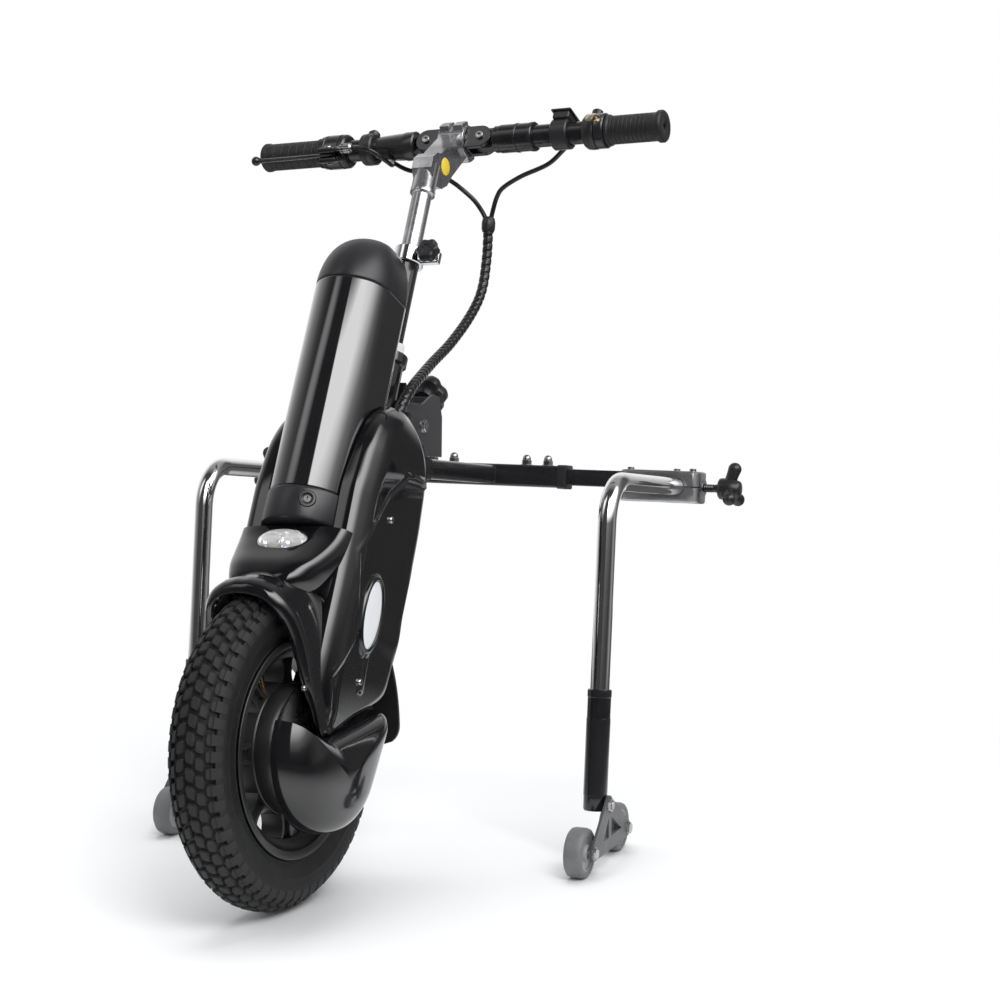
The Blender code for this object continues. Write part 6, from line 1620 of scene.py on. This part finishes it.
def build_bracket():
    front, rear = PIVOT[0] - SLOT_R - 0.020, PIVOT[0] + 0.057
    y, z = PIVOT
    outline = [(front, z - 0.012), (front + 0.006, z - 0.020), (y - 0.020, z - 0.022), (y + 0.002, z - 0.020),
               (y + 0.016, z - 0.034), (y + 0.018, SEAT), (rear, SEAT), (rear - 0.004, z + 0.012),
               (rear - 0.014, z + 0.034), (y + 0.026, z + 0.036), (y - 0.002, z + 0.0235),
               (y - 0.034, z + 0.0235),
               (front + 0.012, z + 0.0255), (front + 0.002, z + 0.018), (front, z + 0.010)]
    start = atan2(0.008, -SLOT_R)
    sweep = radians(13.5)
    slot = arc(PIVOT, SLOT_R + 0.0045, start - sweep, start + sweep, 16)
    slot += arc(PIVOT, SLOT_R - 0.0045, start + sweep, start - sweep, 16)
    plates = []
    for side in (1, -1):
        low, high = sorted((side * PLATE[0], side * PLATE[1]))
        plates.append(carved(side_prism(outline, low, high), side_prism(slot, -0.05, 0.05)))
    web = box((-PLATE[0] - 0.001, y + 0.0185, SEAT), (PLATE[0] + 0.001, rear - 0.0005, SEAT + 0.004))
    back = box((-PLATE[0] - 0.001, rear - 0.026, z + 0.0100), (PLATE[0] + 0.001, rear - 0.0145, z + 0.0335))
    piece("bracket_plates", joined(*plates, web), "bracket_paint", REAR, "rear_frame",
          ("tilt_bracket",), "grey_metal", smooth=30, bevel=0.0006)
    piece("bracket_web", back, "bracket_paint", REAR, "rear_frame", smooth=30, bevel=0.0010)
    heads = []
    for side in (1, -1):
        place = offset(side * (PLATE[1] + 0.0003), y, z) @ Matrix.Rotation(side * pi / 2, 4, "Y")
        heads.append(turned(bolt_head(0.0070, 0.0038), place))
    shaft = turned(rod(0.0045, -PLATE[1], PLATE[1], 28),
                   offset(0, y, z) @ TO_X)
    piece("pivot_heads", joined(shaft, *heads), "steel", REAR, "rear_frame", ("pivot_bolt",), "steel",
          smooth=30)

    rows = [(0.0040, -0.020, 0), (0.0040, 0.0105, 0), (0.0110, 0.0105, 0), (0.0130, 0.0135, 0),
            (0.0170, 0.0165, 0.2), (0.0225, 0.0185, 1), (0.0235, 0.0215, 1), (0.0235, 0.0290, 1),
            (0.0222, 0.0312, 1), (0.0190, 0.0320, 0.7), (0.0120, 0.0320, 0), (0.0110, 0.0308, 0),
            (0.0010, 0.0308, 0)]
    loops = [ring_at(lambda a: r - 0.0030 * deep * (0.5 - 0.5 * cos(6 * a)) ** 2, h, 96)
             for r, h, deep in rows]
    place = REAR @ offset(0, y + 0.042, z + 0.0255) @ Matrix.Rotation(radians(29), 4, "X") @ TO_BACK
    piece("tilt_knob_head", skin_loops(loops), "black_plastic", place, "tilt_knob", ("tilt_knob",),
          "black_plastic", smooth=40)


def side_maker(side, word, place):
    """A piece() for one side: its parts are drawn for the left, and named and hung by their side."""
    mirror = Matrix.Scale(side, 4, (1, 0, 0))

    def put(name, bm, paint, body, stands_for=None, slot=None, **style):
        piece(f"{name}_{word}", turned(bm, mirror), paint, place, f"{body}_{word}",
              (f"{stands_for}_{word}",) if stands_for else (), slot, **style)
    return put


def build_block(put):
    put("slide_bar", square_tube(CROSS_HALF - 0.070, BLOCK[0] + 0.012, SLIDE_R, 0.0015, 0.0015),
        "black_paint", "clamp", "slide_tube", "black_paint", smooth=30)
    middle, half = sum(BLOCK) / 2, (BLOCK[1] - BLOCK[0]) / 2
    z0, z1 = BLOCK_LOW, BLOCK_HIGH
    block = skin_loops([[(x + middle, y, z) for x, y in rounded(half - g, 0.020 - g, 0.0085, 8)]
                        for z, g in ((z0, 0.0022), (z0 + 0.0008, 0.0008), (z0 + 0.0022, 0.0),
                                     (z1 - 0.0022, 0.0), (z1 - 0.0008, 0.0008), (z1, 0.0022))])
    channel = box((CHANNEL[0], -0.007, z0 - 0.01), (CHANNEL[1], 0.04, z1 + 0.01))
    socket = skin_loops([[(x, y, z) for y, z in rounded(SLIDE_R + GAP, SLIDE_R + GAP, 0.0015)]
                         for x in (BLOCK[0] - 0.01, BLOCK[0] + 0.0123)])
    leg_hole = turned(rod(LEG_R + GAP, -0.03, -0.0055, 48), offset(LEG_SIDE, 0, -BLOCK_DROP) @ TO_BACK)
    screw_hole = turned(rod(0.0053, CHANNEL[1] - 0.01, 0.29, 32), CLAMP_AXIS @ TO_X)
    slit = box((LEG_SIDE + 0.005, -0.03, -BLOCK_DROP - 0.0008), (0.30, -0.0060, -BLOCK_DROP + 0.0008))
    casting = carved(block, channel, socket, leg_hole, screw_hole, slit)
    put("clamp_casting", casting, "cast", "clamp", "clamp_block", "cast_aluminium", smooth=35)
    heads = [turned(socket_screw(0.0040, 0.0030), offset(x, y, z1))
             for x, y in ((0.257, -0.0125), (0.178, 0.0), (0.230, 0.0145))]
    face = BLOCK[1]
    bezel = [(0.0056, face - 0.001), (0.0100, face - 0.001), (0.0100, face + 0.0003),
             (0.0097, face + 0.0005), (0.0056, face + 0.0005)]
    heads.append(turned(lathe(bezel, 40, closed=True), CLAMP_AXIS @ TO_X))
    put("clamp_screws", joined(*heads), "steel", "clamp", smooth=30)

    # The jaw is a ribbed rubber pad
    ribs, z = [], z0 + 0.002
    while z < z1 - 0.0045:
        ribs.append(box((CHANNEL[1] - 0.0073, -0.0065, z), (CHANNEL[1] - 0.0055, 0.0170, z + 0.0030)))
        z += 0.0045
    pad = box((CHANNEL[1] - 0.0060, -0.0065, z0 + 0.002), (CHANNEL[1] - 0.0003, 0.0170, z1 - 0.002))
    put("jaw_pad", joined(pad, *ribs), "rubber", "jaw", "clamp_jaw", "rubber", smooth=30)


def build_wing_knob(put):
    profile = [(0, CHANNEL[1]), (0.0046, CHANNEL[1])]
    x = CHANNEL[1] + 0.001
    while x < 0.278:
        profile += [(0.0049, x), (0.0043, x + 0.0010)]
        x += 0.0020
    profile += [(0.0049, 0.2805), (0.0049, 0.284), (0, 0.284)]
    put("jaw_screw", turned(lathe(profile, 28), CLAMP_AXIS @ TO_X), "black_paint", "clamp_knob", smooth=50)
    hub = lathe([(0, 0.2838), (0.0105, 0.2838), (0.0120, 0.2850), (0.0125, 0.2870), (0.0125, 0.2970),
                 (0.0118, 0.3010), (0.0100, 0.3070), (0.0085, 0.3092), (0.0060, 0.3100), (0, 0.3100)], 40)
    arms = []
    base, reach, ball = Vector((0.2940, 0, 0)), 0.0305, 0.0078
    for i in range(3):
        a = radians(90 + 120 * i)
        tip = Vector((0.3040, reach * cos(a), reach * sin(a)))
        length = (tip - base).length
        rows = [(0.05, 0.0060), (0.30, 0.0068), (0.60, 0.0072)]
        rows += [(1 - (ball - ball * sin(b)) / length, ball * cos(b))
                 for b in (radians(9 * k) for k in range(10))]
        arms.append(rod_to(base, tip, rows, 28))
    put("wing_knob", turned(joined(turned(hub, TO_X), *arms), CLAMP_AXIS), "black_plastic", "clamp_knob",
        "clamp_knob", "black_plastic", smooth=50)


def build_leg(put):
    """The stand leg, one smooth bent tube, and its sleeve with a spring pin."""
    low = -LEG_FORWARD + LEG_BEND
    path = [Vector((LEG_SIDE, -0.0058 + (low + 0.0058) * k / 6, -BLOCK_DROP)) for k in range(6)]
    path += [Vector((LEG_SIDE, low - LEG_BEND * sin(a), -BLOCK_DROP - LEG_BEND * (1 - cos(a))))
             for a in (radians(5 * k) for k in range(19))]
    path += [Vector((LEG_SIDE, -LEG_FORWARD, z)) for z in (-0.10, -0.15, -0.2532)]
    put("bent_leg", tube_along(path, LEG_R, 36), "chrome", "clamp", "stand_leg", "chrome", smooth=60)

    top, bottom = SLEEVE
    profile = [(LEG_R + GAP, top), (0.0119, top), (0.0127, top - 0.0010), (0.0127, top - 0.0080),
               (0.0123, top - 0.0085), (0.0123, top - 0.0300), (0.0127, top - 0.0305),
               (0.0127, bottom + 0.0160), (0.0123, bottom + 0.0155), (0.0123, bottom + 0.0020),
               (0.0112, bottom), (LEG_R + GAP, bottom)]
    tube = turned(lathe(profile, 48, closed=True), offset(LEG_SIDE, -LEG_FORWARD, 0))
    put("sleeve_tube", tube, "black_paint", "leg", "leg_sleeve", "black_plastic", smooth=30)
    pin = lathe([(0, 0.0110), (0.0058, 0.0110), (0.0058, 0.0135), (0.0030, 0.0140), (0.0030, 0.0155),
                 (0.0042, 0.0158), (0.0042, 0.0190), (0.0036, 0.0197), (0, 0.0197)], 28)
    stud = lathe([(0, 0.0108), (0.0045, 0.0108), (0.0045, 0.0200), (0.0040, 0.0205), (0, 0.0205)], 28)
    small = [turned(pin, offset(LEG_SIDE, -LEG_FORWARD, top - 0.016) @ TO_BACK),
             turned(stud, offset(LEG_SIDE, -LEG_FORWARD, bottom + BOGIE_UP) @ TO_X)]
    put("sleeve_fittings", joined(*small), "steel", "leg", smooth=35)


def build_bogie(put):
    """A rounded triangle with two windows, and two casters on its corners."""
    r = 0.0085
    corners = [(y, z) for _, y, z in CASTERS]
    outline = arc((0, 0), 0.010, radians(35), radians(150), 14)
    outline += arc(corners[0], r, radians(150), radians(270), 14)
    outline += arc(corners[1], r, radians(-90), radians(35), 14)
    low, high = 0.0135, 0.0165
    cutters = [side_prism(shape, 0, 0.05) for shape in
               (((-0.020, -0.034), (-0.003, -0.034), (-0.003, -0.014)),
                ((0.006, -0.034), (0.040, -0.034), (0.006, -0.014)))]
    cutters.append(turned(rod(0.0048, 0, 0.05, 32), TO_X))
    plate = carved(side_prism(outline, low, high), *cutters)
    put("bogie_casting", plate, "grey_metal", "bogie", "bogie_plate", "grey_metal", smooth=30, bevel=0.0005)
    pins = [turned(lathe([(0.0056, high), (0.0085, high), (0.0085, high + 0.0012), (0.0074, high + 0.0030),
                          (0.0056, high + 0.0030)], 6, closed=True), TO_X)]
    for y, z in corners:
        pins.append(turned(lathe([(0, -0.0130), (0.0058, -0.0130), (0.0065, -0.0122), (0.0065, -0.0104),
                                  (0.0040, -0.0104), (0.0040, high), (0, high)], 28), offset(0, y, z) @ TO_X))
        pins.append(turned(bolt_head(0.0062, 0.0034), offset(high, y, z) @ TO_X))
    put("bogie_bolts", joined(*pins), "steel", "bogie", smooth=30)
    tread = mirrored([(0.0188, -0.0088), (0.0200, -0.0096), (0.0232, -0.0098), (0.0250, -0.0084),
                      (0.0260, -0.0052)])
    hub = mirrored([(0.0043, -0.0100), (0.0080, -0.0100), (0.0088, -0.0090), (0.0092, -0.0070),
                    (0.0165, -0.0070), (0.0175, -0.0084), (0.0190, -0.0086)])
    for end, y, z in CASTERS:
        place = offset(0, y, z) @ TO_X
        put(f"caster_tread_{end}", turned(lathe(tread, 56, closed=True), place), "grey_rubber",
            f"caster_{end}", f"caster_{end}", "grey_rubber", smooth=50)
        put(f"caster_hub_{end}", turned(lathe(hub, 56, closed=True), place), "caster_hub", f"caster_{end}",
            smooth=35)


def build_side(side, word):
    put = side_maker(side, word, REAR)
    build_block(put)
    build_wing_knob(put)
    build_leg(put)
    # At rest the bogie is level, though the rear frame is pitched
    mirror = Matrix.Scale(side, 4, (1, 0, 0))
    level = (REAR @ mirror @ offset(LEG_SIDE, -LEG_FORWARD, SLEEVE[1] + BOGIE_UP)
             @ Matrix.Rotation(PITCH, 4, "X") @ mirror)
    build_bogie(side_maker(side, word, level))


def build_flap():
    """The mud flap: a curved sheet behind the crown with rounded lower corners."""
    inner, outer, half_flap, corner, edge = 0.1665, 0.1695, 0.044, 0.020, 0.0006
    loops = []
    for i in range(49):
        a = radians(76 - 58 * i / 48)
        run = (a - radians(18)) * 0.168
        half = half_flap
        if run < corner:
            half = 0.024 + corner * (1 - (1 - run / corner) ** 2) ** 0.5
        flat = half - edge
        loop = [(inner, flat), (inner, half), (outer, half), (outer, flat),
                (outer, -flat), (outer, -half), (inner, -half), (inner, -flat)]
        loops.append([(x, -FORK_OFFSET + r * cos(a), r * sin(a)) for r, x in loop])
    piece("flap_sheet", skin_loops(loops), "black_plastic", FORK, "front_fork", ("mud_flap",),
          "black_plastic", smooth=50)


def main():
    build_camera()
    build_world()
    build_floor()
    for light in LIGHTS:
        area_light(*light)
    dress_nodes()
    for build in (build_tyre, build_cast_wheel, build_shell, build_battery, build_headlight, build_cover,
                  build_stem, build_collar, build_bar_centre):
        build()
    build_bar_half(1, "left", THROTTLE_GRIP)
    build_bar_half(-1, "right", BRAKE_GRIP)
    for build in (build_brake, build_switch_case, build_display, build_throttle, build_cables, build_cross,
                  build_bracket):
        build()
    for side, word in SIDES:
        build_side(side, word)
    build_flap()
    bpy.context.scene.view_settings.view_transform = "Standard"


main()
